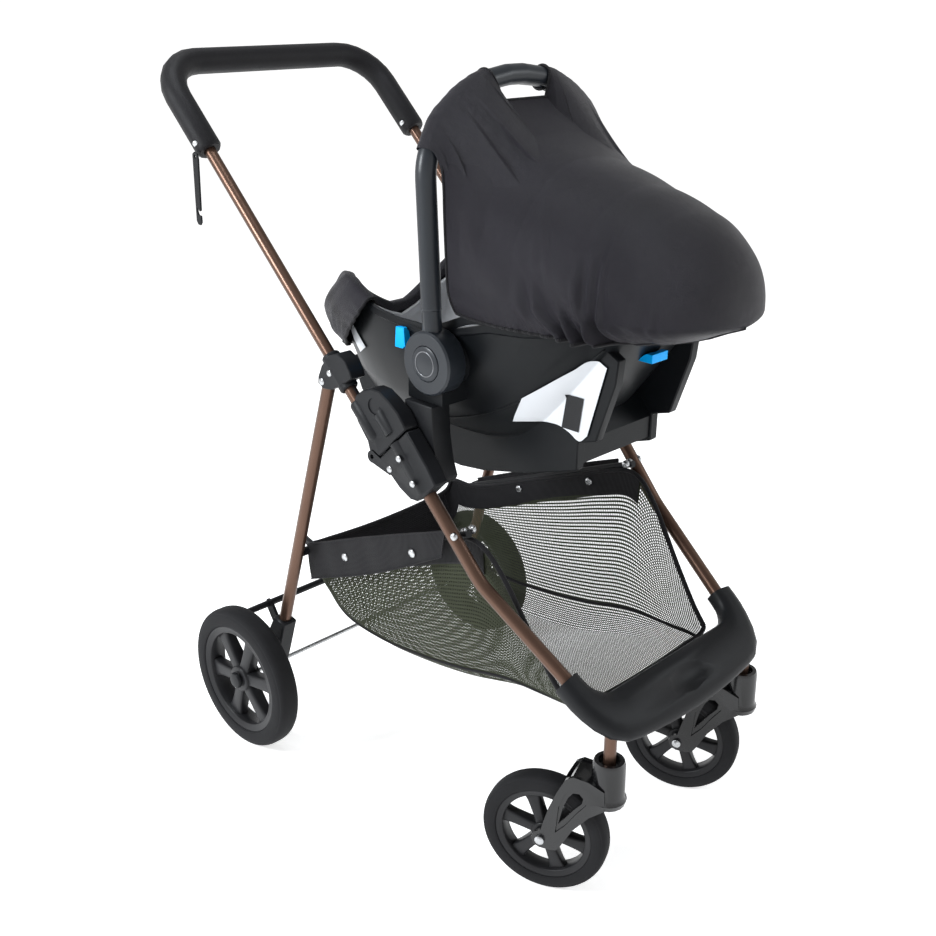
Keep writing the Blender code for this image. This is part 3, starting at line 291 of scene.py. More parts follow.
# Moulded fittings of the frame: footrest, hinge casings, leg brackets, axle housings, adaptors, side bars,
# brake bar and hub caps. They are glass-filled nylon with a fine spark-eroded grain, riveted to the tubes.
moulding = Finish("grained_black", srgb(28, 29, 31), 0.42, specular=0.2)
grain = moulding.noise(1500.0, 3.0, 0.6)
smears = moulding.noise(14.0, 4.0, 0.55)
moulding.tint(srgb(16, 17, 19), srgb(27, 28, 31), (smears * 1.2 - 0.1).limited())
moulding.feed("Roughness", 0.34 + smears * 0.12 + grain * 0.08)
moulding.relief(grain, 0.00006)
dressed("footrest", moulding, bevel=0.0009, sharp=48.0)
for name in ["brake_bar", *both("hinge_lower", "hinge_upper", "leg_bracket", "axle_housing", "adaptor",
                                "side_bar", "rear_hub_cap")]:
    dressed(name, moulding, bevel=0.0009 if "hinge" in name else 0.0006, sharp=38.0)

# Steel: the rear axle, the front axle bolts, rivets, bolts and screws, all of plated mild steel. The rivets
# are pressed through the casings and brackets, the bolts hold the side bars and the screws the grip's ends.
steel = Finish("plated_steel", srgb(186, 188, 190), 0.28, metallic=1.0)
steel.smeared(srgb(160, 162, 165), srgb(206, 207, 208), (60.0, 3.0), (0.18, 0.2), (900.0, 0.00003))
for name in ["rear_axle", *both("front_axle")]:
    dressed(name, steel, bevel=0.0)


def grid_mesh(name, points, finish, body, ring=False, closed=False, caps=False, replaces=()):
    """A surface over a grid of points (rows, columns, 3), or over several alike (parts, rows, columns, 3). A
    ring joins each row's ends, closed joins the last row to the first, caps fill the first and last rows. Its
    map gives metres along the rows and columns."""
    points = points.reshape(-1, *points.shape[-3:])
    parts, rows, columns = points.shape[:3]
    index = np.arange(parts * rows * columns).reshape(parts, rows, columns)
    place = points
    if ring:
        index = np.concatenate([index, index[:, :, :1]], 2)
        place = np.concatenate([place, place[:, :, :1]], 2)
    if closed:
        index = np.concatenate([index, index[:, :1]], 1)
        place = np.concatenate([place, place[:, :1]], 1)
    turns = ((slice(0, -1), slice(0, -1)), (slice(0, -1), slice(1, None)),
             (slice(1, None), slice(1, None)), (slice(1, None), slice(0, -1)))
    quads = np.stack([index[:, a, b] for a, b in turns], -1).reshape(-1, 4).tolist()
    across = np.linalg.norm(np.diff(place, axis=2), axis=3).mean((0, 1))
    along = np.linalg.norm(np.diff(place, axis=1), axis=3).mean((0, 2))
    spread = np.stack(np.meshgrid(np.append(0, np.cumsum(across)), np.append(0, np.cumsum(along))), -1)
    corners = np.stack([spread[a, b] for a, b in turns], 2).reshape(-1, 2)
    corners = np.tile(corners, (parts, 1))
    if caps:
        quads += index[:, 0, :columns][:, ::-1].tolist() + index[:, -1, :columns].tolist()
        corners = np.concatenate([corners, np.zeros((2 * parts * columns, 2))])
    mesh = bpy.data.meshes.new(name)
    mesh.from_pydata(points.reshape(-1, 3).tolist(), [], quads)
    mesh.uv_layers.new(name="metres").data.foreach_set("uv", corners.reshape(-1).astype(np.float32))
    mesh.polygons.foreach_set("use_smooth", [True] * len(mesh.polygons))
    mesh.materials.append(finish.material)
    piece = bpy.data.objects.new(name, mesh)
    bpy.context.scene.collection.objects.link(piece)
    if body:
        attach(piece, body)
    if replaces:
        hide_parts(*replaces)
    return piece


def turned(name, profile, centre, axis, finish, body, turns=48, closed=False, replaces=()):
    """A profile of (place along the axis, radius) pairs turned round an axis through a centre."""
    axis = np.array(axis, float) / np.linalg.norm(axis)
    side = np.cross(axis, (0.0, 0.0, 1.0) if abs(axis[2]) < 0.9 else (0.0, 1.0, 0.0))
    side /= np.linalg.norm(side)
    up = np.cross(side, axis)
    angle = np.linspace(0, 2 * math.pi, turns, endpoint=False)
    ring = np.cos(angle)[:, None] * side + np.sin(angle)[:, None] * up
    along, radius = np.array(profile, float).T
    points = np.array(centre) + along[:, None, None] * axis + radius[:, None, None] * ring
    return grid_mesh(name, points, finish, body, ring=True, closed=closed, caps=not closed,
                     replaces=replaces)


RIVET = [(-0.0006, 0.0046), (0.0004, 0.0046), (0.0011, 0.0040), (0.0016, 0.0026), (0.0018, 0.0008)]
BOLT_HEAD = [(-0.0010, 0.0078), (0.0012, 0.0078), (0.0030, 0.0072), (0.0042, 0.0052), (0.0046, 0.0015)]
BOLT_SIZE = 0.74
RIVET_PLACES = {
    # where each rivet sits: side distance, y, z, size, and the body it is pressed into
    "casing_a": (0.2065, -0.062, 0.535, 1.0, "front_frame"),
    "casing_b": (0.2065, -0.045, 0.516, 1.0, "front_frame"),
    "casing_c": (0.2065, -0.087, 0.508, 1.0, "front_frame"),
    "bracket_a": (0.2045, 0.072, 0.617, 1.0, "push_handle"),
    "bracket_b": (0.2045, 0.088, 0.602, 1.1, "push_handle"),
}
BOLT_PLACES = {
    # side distance, y, z, and 1 for a head that looks outwards or -1 for one that looks inwards
    "bar_outer": (0.1898, -0.145, 0.449, 1), "bar_inner": (0.1715, -0.145, 0.449, -1),
    "bar_spacer": (0.1600, -0.147, 0.450, -1),
}
SCREW_PLACES = {"outer": (0.2095, 1), "inner": (0.1745, -1)}
SCREW_Y = 0.3350 + SHIFT
SCREW_Z = 0.8850
for mark, (x, y, z, scale, body) in RIVET_PLACES.items():
    for tag, sign in SIDES:
        profile = [(a, r * scale) for a, r in RIVET]
        turned(f"rivet_{mark}_{tag}", profile, (sign * x, y + SHIFT, z), (sign, 0, 0), steel, body,
               20)
for tag, sign in SIDES:
    for mark, (x, y, z, way) in BOLT_PLACES.items():
        profile = [(a, r * BOLT_SIZE) for a, r in BOLT_HEAD]
        turned(f"bolt_{mark}_{tag}", profile, (sign * x, y + SHIFT, z), (sign * way, 0, 0), steel,
               "side_bars", 24)
    for mark, (x, way) in SCREW_PLACES.items():
        turned(f"grip_screw_{mark}_{tag}", RIVET, (sign * x, SCREW_Y, SCREW_Z), (sign * way, -0.5, -0.3),
               steel, "push_handle", 20)

# Wheels: solid rubber tyres on moulded rims with six broad spokes. The rear pair turns on the axle under a
# snap cap, and the front pair sits in the caster forks on a steel bolt.
rubber = Finish("tyre_rubber", srgb(34, 34, 36), 0.8, specular=0.2)
scuffs = rubber.noise(35.0, 5.0, 0.6)
rubber.tint(srgb(20, 20, 22), srgb(34, 34, 36), (scuffs * 1.3 - 0.25).limited())
rubber.feed("Roughness", 0.68 + scuffs * 0.2)
rubber.relief(rubber.noise(900.0, 3.0, 0.65), 0.00012)
rim_plastic = Finish("rim_plastic", srgb(30, 30, 32), 0.4)
rim_plastic.smeared(srgb(24, 24, 26), srgb(38, 38, 40), (25.0, 4.0, 0.6), (0.3, 0.18), (1200.0, 0.00004))


def spline(points, count):
    """The points resampled on a smooth curve: cubic pieces whose slope at each point is half the step between
    its two neighbours."""
    p = np.array(points, float)
    p = np.vstack([2 * p[:1] - p[1:2], p, 2 * p[-1:] - p[-2:-1]])
    place = np.linspace(0, len(p) - 3, count)
    first = np.minimum(place.astype(int), len(p) - 4)
    t = (place - first)[:, None]
    a, b, c, d = (p[first + k] for k in range(4))
    square = (2 * a - 5 * b + 4 * c - d) * t ** 2
    return 0.5 * (2 * b + (c - a) * t + square + (3 * b - a - 3 * c + d) * t ** 3)


def spokes(name, centre, axis, radius, half, body):
    """Six spokes: each is a rounded bar whose width grows from 0.08 to 0.11 of the radius and flares at both
    ends, and whose depth shrinks outwards. The power below 1 turns its round section into a boxy one."""
    axis = np.array(axis, float)
    side = np.cross((0.0, 0.0, 1.0), axis)
    turn = 2 * math.pi * np.arange(6)[:, None, None, None] / 6 + 0.35
    out = np.cos(turn) * np.cross(axis, side) + np.sin(turn) * side
    lateral = np.cross(np.broadcast_to(axis, out.shape), out)
    s = np.linspace(0, 1, 25)[None, :, None, None]
    a = np.linspace(0, 2 * math.pi, 28, endpoint=False)[None, None, :, None]
    reach = radius * (0.13 + 0.55 * s)
    width = radius * (0.080 + 0.030 * s + 0.045 * s ** 8 + 0.02 * (1 - s) ** 6)
    depth = half * (0.62 - 0.16 * s)
    flat, high = (np.sign(v) * np.abs(v) ** 0.45 for v in (np.cos(a), np.sin(a)))
    points = np.array(centre) + reach * out + width * flat * lateral + depth * high * axis
    return grid_mesh(name, points, rim_plastic, body, ring=True)


def wheel(where, tag, centre, axis, radius, width):
    """A tyre on a rim. The half section gives shares of the half width and of the tyre's height; the seat is
    the tyre's inner radius and the bed the inner radius of the rim's ring."""
    body = f"{where}_wheel_{tag}"
    rim_name = f"{where}_rim_{tag}"
    h = width / 2
    seat = 0.765 * radius
    bed = 0.665 * radius
    half_section = [
        (0.80, 0.00), (0.94, 0.06), (0.995, 0.20), (1.0, 0.42), (0.965, 0.62), (0.90, 0.735), (0.885, 0.80),
        (0.72, 0.92), (0.42, 0.99), (0.14, 1.0),
    ]
    half_section = [(x * h, seat + r * (radius - seat)) for x, r in half_section]
    section = spline(half_section + [(-x, r) for x, r in reversed(half_section)], 72)
    turned(f"{where}_tyre_{tag}_rubber", section, centre, axis, rubber, body, 128, True,
           (f"{where}_tyre_{tag}",))
    rim = [
        (0.78, bed + 0.0012), (0.80, seat - 0.0030), (0.86, seat - 0.0016), (0.86, seat + 0.0006),
        (0.70, seat + 0.0006), (-0.70, seat + 0.0006), (-0.86, seat + 0.0006), (-0.86, seat - 0.0016),
        (-0.80, seat - 0.0030), (-0.78, bed + 0.0012), (-0.70, bed), (0.70, bed),
    ]
    turned(f"{rim_name}_ring", [(x * h, r) for x, r in rim], centre, axis, rim_plastic, body, 96, True,
           (rim_name,))
    spokes(f"{rim_name}_spokes", centre, axis, radius, h, body)
    hub = [(-0.80, 0.13), (-0.80, 0.165), (-0.72, 0.185), (0.72, 0.185), (0.80, 0.165), (0.80, 0.13)]
    hub = [(x * h, r * radius) for x, r in hub]
    turned(f"{rim_name}_hub", hub, centre, axis, rim_plastic, body)


REAR_RADIUS = 0.110
FRONT_RADIUS = 0.084
CASTER_AXLE = (0.929776, 0.368125, 0)  # both casters are swung to the same side
FRONT_X = {"right": -0.177714, "left": 0.120286}
for tag, sign in SIDES:
    wheel("rear", tag, (sign * 0.253, 0.235 + SHIFT, REAR_RADIUS), (sign, 0, 0), REAR_RADIUS, 0.036)
    wheel("front", tag, (FRONT_X[tag], -0.302477 + SHIFT, FRONT_RADIUS), CASTER_AXLE, FRONT_RADIUS, 0.030)

# Casters: a swivel barrel with two cheeks, moulded in a glossier nylon and pressed on the stem.
gloss = Finish("polished_black", srgb(17, 17, 19), 0.2, coat=0.2, specular=0.45)
gloss.smeared(srgb(9, 9, 11), srgb(17, 17, 19), (18.0, 4.0, 0.6), (0.18, 0.14), (700.0, 0.00002))
for name in both("caster_fork"):
    dressed(name, gloss, bevel=0.0012, sharp=42.0)

# Handle grip: foam round the bend of the push tube under stitched leatherette, with a moulded ring at each
# end. The flat fold strap that hangs below it is moulded nylon.
leather = Finish("leatherette", srgb(26, 25, 28), 0.55, sheen=0.05)
hide = leather.cells(420.0, "DISTANCE_TO_EDGE")
smears = leather.noise(20.0, 3.0)
leather.tint(srgb(11, 10, 13), srgb(22, 21, 25), (hide * 1.4 + smears * 0.4).limited())
leather.feed("Roughness", 0.44 + smears * 0.2)
leather.relief(hide, 0.0004)
dressed("handle_grip", leather, bevel=0.0010, sharp=50.0)
dressed("fold_strap", moulding, bevel=0.0004)

# Carrier shell: an injection-moulded bucket with rocker rails, hub bosses and receivers, in a satin black
# that is a little smoother than the frame's fittings.
shell_black = Finish("shell_black", srgb(15, 17, 20), 0.34, specular=0.16)
smears = shell_black.noise(9.0, 4.0, 0.55)
grain = shell_black.noise(1800.0, 2.0, 0.6)
shell_black.tint(srgb(10, 12, 14), srgb(18, 20, 23), smears)
shell_black.feed("Roughness", 0.28 + smears * 0.12 + grain * 0.06)
shell_black.relief(grain, 0.00004)
dressed("carrier_shell", shell_black, bevel=0.0008, sharp=34.0)

# Belt guides: three blue hooks snapped into the shell's rim. The one at the head end is smaller.
blue = Finish("guide_blue", srgb(0, 156, 236), 0.36)
blue.smeared(srgb(0, 164, 250), srgb(6, 178, 255), (60.0, 3.0), (0.3, 0.15), (1500.0, 0.00003))
for name in both("belt_guide"):
    dressed(name, blue, bevel=0.0006)
HEAD_HOOK_MOVE = (0.006, 0, 0)
HEAD_HOOK_SIZE = (0.46, 1.0, 0.56)
head_hook = dressed("belt_guide_head", blue, bevel=0.0006).data
corner = np.empty(len(head_hook.vertices) * 3, np.float32)
head_hook.vertices.foreach_get("co", corner)
corner = corner.reshape(-1, 3)
centre = (corner.min(0) + corner.max(0)) / 2
corner = centre - HEAD_HOOK_MOVE + (corner - centre) * HEAD_HOOK_SIZE
head_hook.vertices.foreach_set("co", corner.astype(np.float32).reshape(-1))

# Carry handle: a moulded arch on a round hub at each side, which holds a press button inside a plain ring.
# The bead on the shell's side, from the head end down to the rail, is moulded with the shell.
satin = Finish("handle_black", srgb(32, 36, 42), 0.36, specular=0.4)
satin.smeared(srgb(26, 29, 34), srgb(37, 42, 48), (14.0, 4.0, 0.55), (0.3, 0.12))
dressed("carry_handle", satin, bevel=0.0008, sharp=44.0)
ring_grey = Finish("hub_ring", srgb(120, 121, 124), 0.3, metallic=0.6)
ring_grey.smeared(srgb(104, 105, 108), srgb(138, 139, 142), (200.0, 3.0), (0.24, 0.12))
PIVOT_Y = -0.0785 + SHIFT
PIVOT_Z = 0.6565
BUTTON_RING = [(0.1763, 0.0165), (0.1763, 0.0150), (0.1768, 0.0152), (0.1770, 0.0158), (0.1768, 0.0164)]
for tag, sign in SIDES:
    dressed(f"handle_button_{tag}", satin, bevel=0.0006)
    turned(f"hub_ring_{tag}", BUTTON_RING, (0, PIVOT_Y, PIVOT_Z), (sign, 0, 0), ring_grey,
           f"handle_button_{tag}", 64, True)
ARC_STEP = 10.0


def bent(points, radii):
    """Straight runs joined by arcs: each corner is cut at radius times tan(half the turn) on both sides, and
    the arc goes round the centre that lies on the corner's bisector."""
    p = np.array(points, float)
    parts = [p[:1]]
    for before, corner, after, radius in zip(p[:-2], p[1:-1], p[2:], radii):
        u, v = ((q - corner) / np.linalg.norm(q - corner) for q in (before, after))
        turn = math.pi - math.acos(np.clip(u @ v, -1, 1))
        centre = corner + (u + v) / np.linalg.norm(u + v) * radius / math.cos(turn / 2)
        start, end = (corner + q * radius * math.tan(turn / 2) - centre for q in (u, v))
        steps = max(3, int(math.degrees(turn) / ARC_STEP * 2))
        t = np.linspace(0, 1, steps)[:, None]
        parts.append(centre + (np.sin((1 - t) * turn) * start + np.sin(t * turn) * end) / math.sin(turn))
    return np.vstack(parts + [p[-1:]])


def even(path, count):
    """The path's points spaced evenly along its length."""
    path = np.array(path, float)
    length = np.append(0, np.cumsum(np.linalg.norm(np.diff(path, axis=0), axis=1)))
    place = np.linspace(0, length[-1], count)
    return np.stack([np.interp(place, length, path[:, k]) for k in range(3)], 1)


def swept(name, path, radius, finish, body, up, turns):
    """A circle of as many points as turns, carried along a path. It starts across the path and the up
    direction."""
    path = np.array(path, float)
    along = np.gradient(path, axis=0)
    along /= np.linalg.norm(along, axis=1)[:, None]
    side = np.cross(along, np.broadcast_to(np.array(up, float), path.shape))
    side /= np.maximum(np.linalg.norm(side, axis=1), 1e-9)[:, None]
    top = np.cross(side, along)
    a = np.linspace(0, 2 * math.pi, turns, endpoint=False)[None, :, None]
    points = path[:, None] + radius * (np.cos(a) * side[:, None] + np.sin(a) * top[:, None])
    return grid_mesh(name, points, finish, body, ring=True, caps=True)


SKIRT = [
    # the bead's line on one side: side distance, y, z
    (0.0883, -0.2880, 0.7015), (0.0915, -0.2695, 0.6837), (0.0978, -0.2484, 0.6669),
    (0.1028, -0.2226, 0.6458), (0.1074, -0.1938, 0.6260), (0.1108, -0.1596, 0.6068),
    (0.1115, -0.1231, 0.5886), (0.1101, -0.0848, 0.5731), (0.1058, -0.0439, 0.5602),
]
for tag, sign in SIDES:
    bead = even([(sign * x, y + SHIFT, z) for x, y, z in SKIRT], 80)
    swept(f"skirt_bead_{tag}", bead, 0.0013, shell_black, "carrier", (1, 0, 0), 10)
HALF_ARCH = [(-0.1600, PIVOT_Z), (-0.1590, 0.8950), (-0.1340, 0.9420), (-0.0780, 0.9770), (0.0, 0.9935)]
ARCH_BENDS = [0.070, 0.080, 0.130, 0.200, 0.130, 0.080, 0.070]
ARCH_FOOT = 0.72
ARCH_RADIUS = 0.0128
HANDLE_LEAN = 0.065
arch = HALF_ARCH + [(-x, z) for x, z in reversed(HALF_ARCH[:-1])]
arch = [(x, PIVOT_Y + HANDLE_LEAN * (z - PIVOT_Z), z) for x, z in arch]
arch = even(bent(arch, ARCH_BENDS), 400)
swept("carry_handle_arch", arch[arch[:, 2] > ARCH_FOOT], ARCH_RADIUS, satin, "carry_handle",
      (0, 1, 0), 32)

# Canopy: charcoal woven nylon, sewn round both corners of the carry handle with a corded edge and gathered
# with elastic along its lower hem.
nylon = Finish("canopy_nylon", srgb(34, 32, 39), 0.42, sheen=0.02, specular=0.3)
across = (nylon.metres(0) * 8200.0).sine()
along_wave = (nylon.metres(1) * 8200.0).sine()
weave = across * along_wave * 0.5 + 0.5
clouds = nylon.noise(12.0, 4.0, 0.6)
nylon.tint(srgb(17, 14, 22), srgb(26, 23, 33), (clouds * 0.9 + weave * 0.15).limited())
nylon.feed("Roughness", 0.38 + clouds * 0.14)
nylon.relief(weave * 0.25 + nylon.noise(90.0, 4.0, 0.6), 0.0012)


def rise_over(value, low, high):
    """0 below low, 1 above high, and the smooth cubic step between them."""
    t = np.clip((value - low) / (high - low), 0, 1)
    return t * t * (3 - 2 * t)


def ripples(u, v, lengths, size, seed):
    """Soft creases: a sum of sine waves of the given wave lengths in random directions and phases."""
    draw = np.random.default_rng(seed)
    total = 0.0
    for length in lengths:
        turn, phase = draw.uniform(0, 2 * math.pi, 2)
        total = total + np.sin(2 * math.pi * (u * math.cos(turn) + v * math.sin(turn)) / length + phase)
    return size * total / math.sqrt(len(lengths))


HEM_DROP = np.array([
    # y, height of the widest line above the hem
    (-0.0920, 0.0410), (-0.1528, 0.0410), (-0.2053, 0.0372), (-0.2527, 0.0322), (-0.2947, 0.0290),
    (-0.3200, 0.0290), (-0.3471, 0.0330), (-0.3614, 0.0316), (-0.3741, 0.0270), (-0.3946, 0.0160),
    (-0.4160, 0.0060),
])
STATIONS = np.array([
    # y, half width, level of the widest line, height above it, squareness
    (-0.0920, 0.1560, 0.7600, 0.2010, 5.0), (-0.1150, 0.1560, 0.7580, 0.1870, 3.4),
    (-0.1450, 0.1560, 0.7570, 0.1680, 2.5), (-0.1900, 0.1520, 0.7540, 0.1480, 2.15),
    (-0.2700, 0.1460, 0.7500, 0.1290, 2.05), (-0.3300, 0.1400, 0.7470, 0.1250, 2.05),
    (-0.4160, 0.1360, 0.7420, 0.1290, 2.05),
])
PLEATS = (
    # each deep fold: where it starts on the hem, how far it leans back, its width and its size
    (0.26, 0.55, 0.020, 0.7), (0.33, 0.75, 0.016, 1.0), (0.385, 0.60, 0.013, 1.25), (0.44, 0.45, 0.016, 1.1),
    (0.50, 0.20, 0.014, 0.9), (0.58, -0.10, 0.016, 0.8),
)
CANOPY_FRONT = -0.0920
CANOPY_LENGTH = 0.3240
CLOSING_FROM = -0.235
CLOSING_LENGTH = 0.181
CLOSING_POWER = 2.3
FOLD_DEPTH = 0.0145
PUCKER_DEPTH = 0.0011
WAVE_DEPTH = 0.0026
CREASE_LENGTHS = (0.23, 0.15, 0.10, 0.07)
CREASE_DEPTH = 0.0010
MEAN_HALF_WIDTH = 0.15


def canopy_surface(share, around):
    """Share runs from the handle to the head end and around from the near hem over the top to the far hem.
    Each station is a superellipse above its widest line and tucks in below it, and the last stretch closes as
    a superellipse too. Folds, which fade away from the hem, puckers on the hem, long waves at the front and
    creases all over move the cloth outwards."""
    y = CANOPY_FRONT - CANOPY_LENGTH * np.sin(math.pi / 2 * share ** 0.92)
    half, level, rise, square = (np.interp(-y, -STATIONS[:, 0], STATIONS[:, k]) for k in (1, 2, 3, 4))
    closing = np.clip((CLOSING_FROM - y) / CLOSING_LENGTH, 0, 1) ** CLOSING_POWER
    closing = (1 - closing) ** (1 / CLOSING_POWER)
    lowest = -24 - 64 * rise_over(-y, 0.29, 0.38)
    angle = np.radians(lowest + (180 - 2 * lowest) * around)
    c, s = np.cos(angle), np.sin(angle)
    n = np.where(s > 0, square, 2.0)
    drop = np.interp(-y, -HEM_DROP[:, 0], HEM_DROP[:, 1])
    above = rise * closing * np.abs(s) ** (2 / n)
    below = drop * s / np.sin(np.radians(-lowest))
    z = level + np.where(s > 0, above, below)
    hem = np.minimum(around, 1 - around)
    far = np.where(around < 0.5, 0.0, 1.3)
    slant = 15 * share + 4.5 * hem + 0.4 * np.sin(11 * share + 1 + far) + 0.3 * np.sin(29 * share)
    fold = 0.55 * np.sin(2 * math.pi * slant)
    for start, lean_back, width, size in PLEATS:
        away = (share - start - 0.012 * far + lean_back * hem) / width
        fold = fold + 1.3 * size * np.exp(-away ** 2) - 0.6 * size * np.exp(-(away - 1.7) ** 2)
    reach = 0.115 + 0.050 * np.sin(2 * math.pi * 5.3 * share + 0.7 + far)
    strong = rise_over(share, 0.12, 0.40) * (1 - 0.6 * rise_over(share, 0.52, 0.72))
    folds = FOLD_DEPTH * strong * np.exp(-(hem / reach) ** 1.6) * fold
    puckers = PUCKER_DEPTH * np.exp(-hem / 0.02) * np.sin(2 * math.pi * 47 * share) * rise_over(share, 0, 0.2)
    low_front = np.exp(-((hem - 0.13) / 0.08) ** 2) * rise_over(share, 0.0, 0.1)
    low_front = low_front * (1 - rise_over(share, 0.4, 0.7))
    waves = WAVE_DEPTH * low_front * np.sin(2 * math.pi * (3.1 * share + 7.5 * hem) + far)
    creases = ripples(share * 0.45, around * 0.55, CREASE_LENGTHS, CREASE_DEPTH, 3)
    creases = creases * rise_over(share, 0.0, 0.12)
    out = 1 + (folds + puckers + waves + creases) * closing ** 0.5 / MEAN_HALF_WIDTH
    x = -half * closing * np.sign(c) * np.abs(c) ** (2 / n) * out
    z = level + (z - level) * np.where(s > 0, out, 1)
    lean = HANDLE_LEAN * (z - PIVOT_Z) - 0.005 - 0.007 * (1 - rise_over(z, 0.86, 0.92))
    return np.stack([x, y + lean * (1 - rise_over(3 * share, 0, 1)) + SHIFT, z], -1)


share, around = np.meshgrid(np.linspace(0, 1, 260), np.linspace(0, 1, 240), indexing="ij")
canopy_points = canopy_surface(share, around)
canopy = grid_mesh("canopy_cloth", canopy_points, nylon, None, replaces=("canopy",))
trim = Finish("hem_tape", srgb(24, 23, 27), 0.7, sheen=0.08)
ribs = (trim.metres(1) * 2600.0).sine()
trim.tint(srgb(11, 10, 13), srgb(21, 20, 24), trim.noise(120.0, 3.0))
trim.relief(ribs, 0.0002)
front = even(canopy_points[0], 300)
top = front[(np.abs(front[:, 0]) < 0.046) & (front[:, 2] > 0.9)]
hems = [swept("canopy_top_hem", top, 0.0020, trim, None, (0, 1, 0), 10)]
for tag, sign in SIDES:
    line = front[(front[:, 0] * sign > 0.04) & (front[:, 2] < 0.905)]
    hems.append(swept(f"canopy_front_hem_{tag}", line, 0.0018, trim, None, (0, 1, 0), 10))
line = even(np.concatenate([canopy_points[:-2, 0], canopy_points[-3::-1, -1]]), 500)
hems.append(swept("canopy_side_hem", line, 0.0022, trim, None, (0.2, 0.3, 1), 10))
CORNER_X = 0.050
CORNER_Z = 0.906
SLEEVE_RADIUS = 0.0150
SLEEVE_REACH = 0.17
SLEEVE_SUNK = 0.014
MIDDLE = (0, 0, 0.76)


def shoulder(tag, sign):
    """Cloth over one corner of the handle: it starts under the tube and goes round its front and outer side
    at the sleeve's radius. From there a cubic curve takes it to the canopy, along the canopy's own slope, and
    it ends a little way under the canopy."""
    run = arch[(arch[:, 0] * sign > CORNER_X) & (arch[:, 2] > CORNER_Z)]
    run = even(run[np.argsort(np.abs(run[:, 0]))], 120)
    along = np.gradient(run, axis=0)
    along /= np.linalg.norm(along, axis=1)[:, None]
    back = np.array((0.0, -1.0, 0.0)) + along * along[:, 1:2]
    back /= np.linalg.norm(back, axis=1)[:, None]
    out = np.cross(along, back)
    out *= np.sign((out * (run - MIDDLE)).sum(1))[:, None]
    t = np.linspace(0, 1, 120)[:, None]
    a = np.radians(np.linspace(205, -40, 34))[None, :]
    radius = SLEEVE_RADIUS + 0.0003 * np.sin(t * 19 + a) + 0.00015 * np.sin(t * 53 - 2 * a + 1)
    wrap = run[:, None] + (radius * np.cos(a))[..., None] * out[:, None]
    wrap = wrap - (radius * np.sin(a))[..., None] * back[:, None]
    places = np.linspace(0, 0.5, 600)
    rim = canopy_surface(0 * places[:, None], places[:, None])[:, 0]
    high = places[np.argmin(np.abs(rim[:, 0] + 0.036) + (rim[:, 2] < 0.9))]
    low = places[np.argmin(np.abs(rim[:, 2] - 0.868) + (rim[:, 0] > -0.1))]
    beside = high + (low - high) * t
    beside = beside if sign < 0 else 1 - beside
    here = 0.004 + SLEEVE_REACH * np.sin(math.pi * t ** 0.8)
    end = canopy_surface(here, beside)[:, 0]
    slope = canopy_surface(here + 0.004, beside)[:, 0] - end
    slope /= np.linalg.norm(slope, axis=1)[:, None]
    end = end - (end - MIDDLE) * (SLEEVE_SUNK, 0, SLEEVE_SUNK)
    first = wrap[:, -1]
    leave = math.sin(a[0, -1]) * out + math.cos(a[0, -1]) * back
    pull = 0.8 * np.linalg.norm(end - first, axis=1)[:, None]
    k = np.linspace(0, 1, 40)[1:][None, :, None]
    bridge = (2 * k ** 3 - 3 * k ** 2 + 1) * first[:, None]
    bridge = bridge + (k ** 3 - 2 * k ** 2 + k) * (pull * leave)[:, None]
    bridge = bridge + (3 * k ** 2 - 2 * k ** 3) * end[:, None] + (k ** 3 - k ** 2) * (pull * slope)[:, None]
    points = np.concatenate([wrap, bridge], 1)
    sleeve = grid_mesh(f"canopy_shoulder_{tag}", points, nylon, None)
    line = even(np.concatenate([wrap[0], bridge[0]]), 90)
    cuff = swept(f"canopy_cuff_{tag}", line, 0.0017, trim, None, (sign, 0, 0.1), 10)
    return sleeve, cuff


shoulders = [shoulder(tag, sign) for tag, sign in SIDES]
for piece in (canopy, *hems, *(piece for group in shoulders for piece in group)):
    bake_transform(piece)


def cloth(piece):
    """Reads the sheet's own map into an array; nothing more is done with it."""
    mesh = piece.data
    corners = np.zeros(len(mesh.uv_layers[0].data) * 2, np.float32)
    mesh.uv_layers[0].data.foreach_get("uv", corners)


cloth(canopy)
for piece, *edges in shoulders:
    cloth(piece)

# Foot cover: the same nylon, drawn over the rim of the foot end, with elastic round its edge. The shell's rim
# stands up as a moulded lip along the sides, between the foot cover and the canopy.
BUCKET_MIDDLE = -0.05
BUCKET_FLOOR = 0.545
LEVELS = np.array([
    # share of the height, half width, head end, foot end, squareness at the head and at the foot
    (0.000, 0.0880, -0.170, 0.128, 2.4, 3.0), (0.097, 0.1050, -0.200, 0.148, 2.5, 3.4),
    (0.290, 0.1180, -0.235, 0.164, 2.6, 3.8), (0.516, 0.1280, -0.265, 0.174, 2.8, 4.2),
    (0.742, 0.1350, -0.296, 0.172, 3.0, 4.4), (0.930, 0.1390, -0.326, 0.160, 3.2, 4.5),
])


def levels(share):
    return (np.interp(share, LEVELS[:, 0], LEVELS[:, k]) for k in range(1, 6))


def rim_height(y):
    """The side rim's height: lowest at the carry handle, with smooth steps up to the head end and the foot."""
    head = 0.684 + 0.030 * rise_over(-y, 0.04, 0.14) + 0.020 * rise_over(-y, 0.15, 0.33)
    return head + 0.037 * rise_over(y, 0, 0.13)


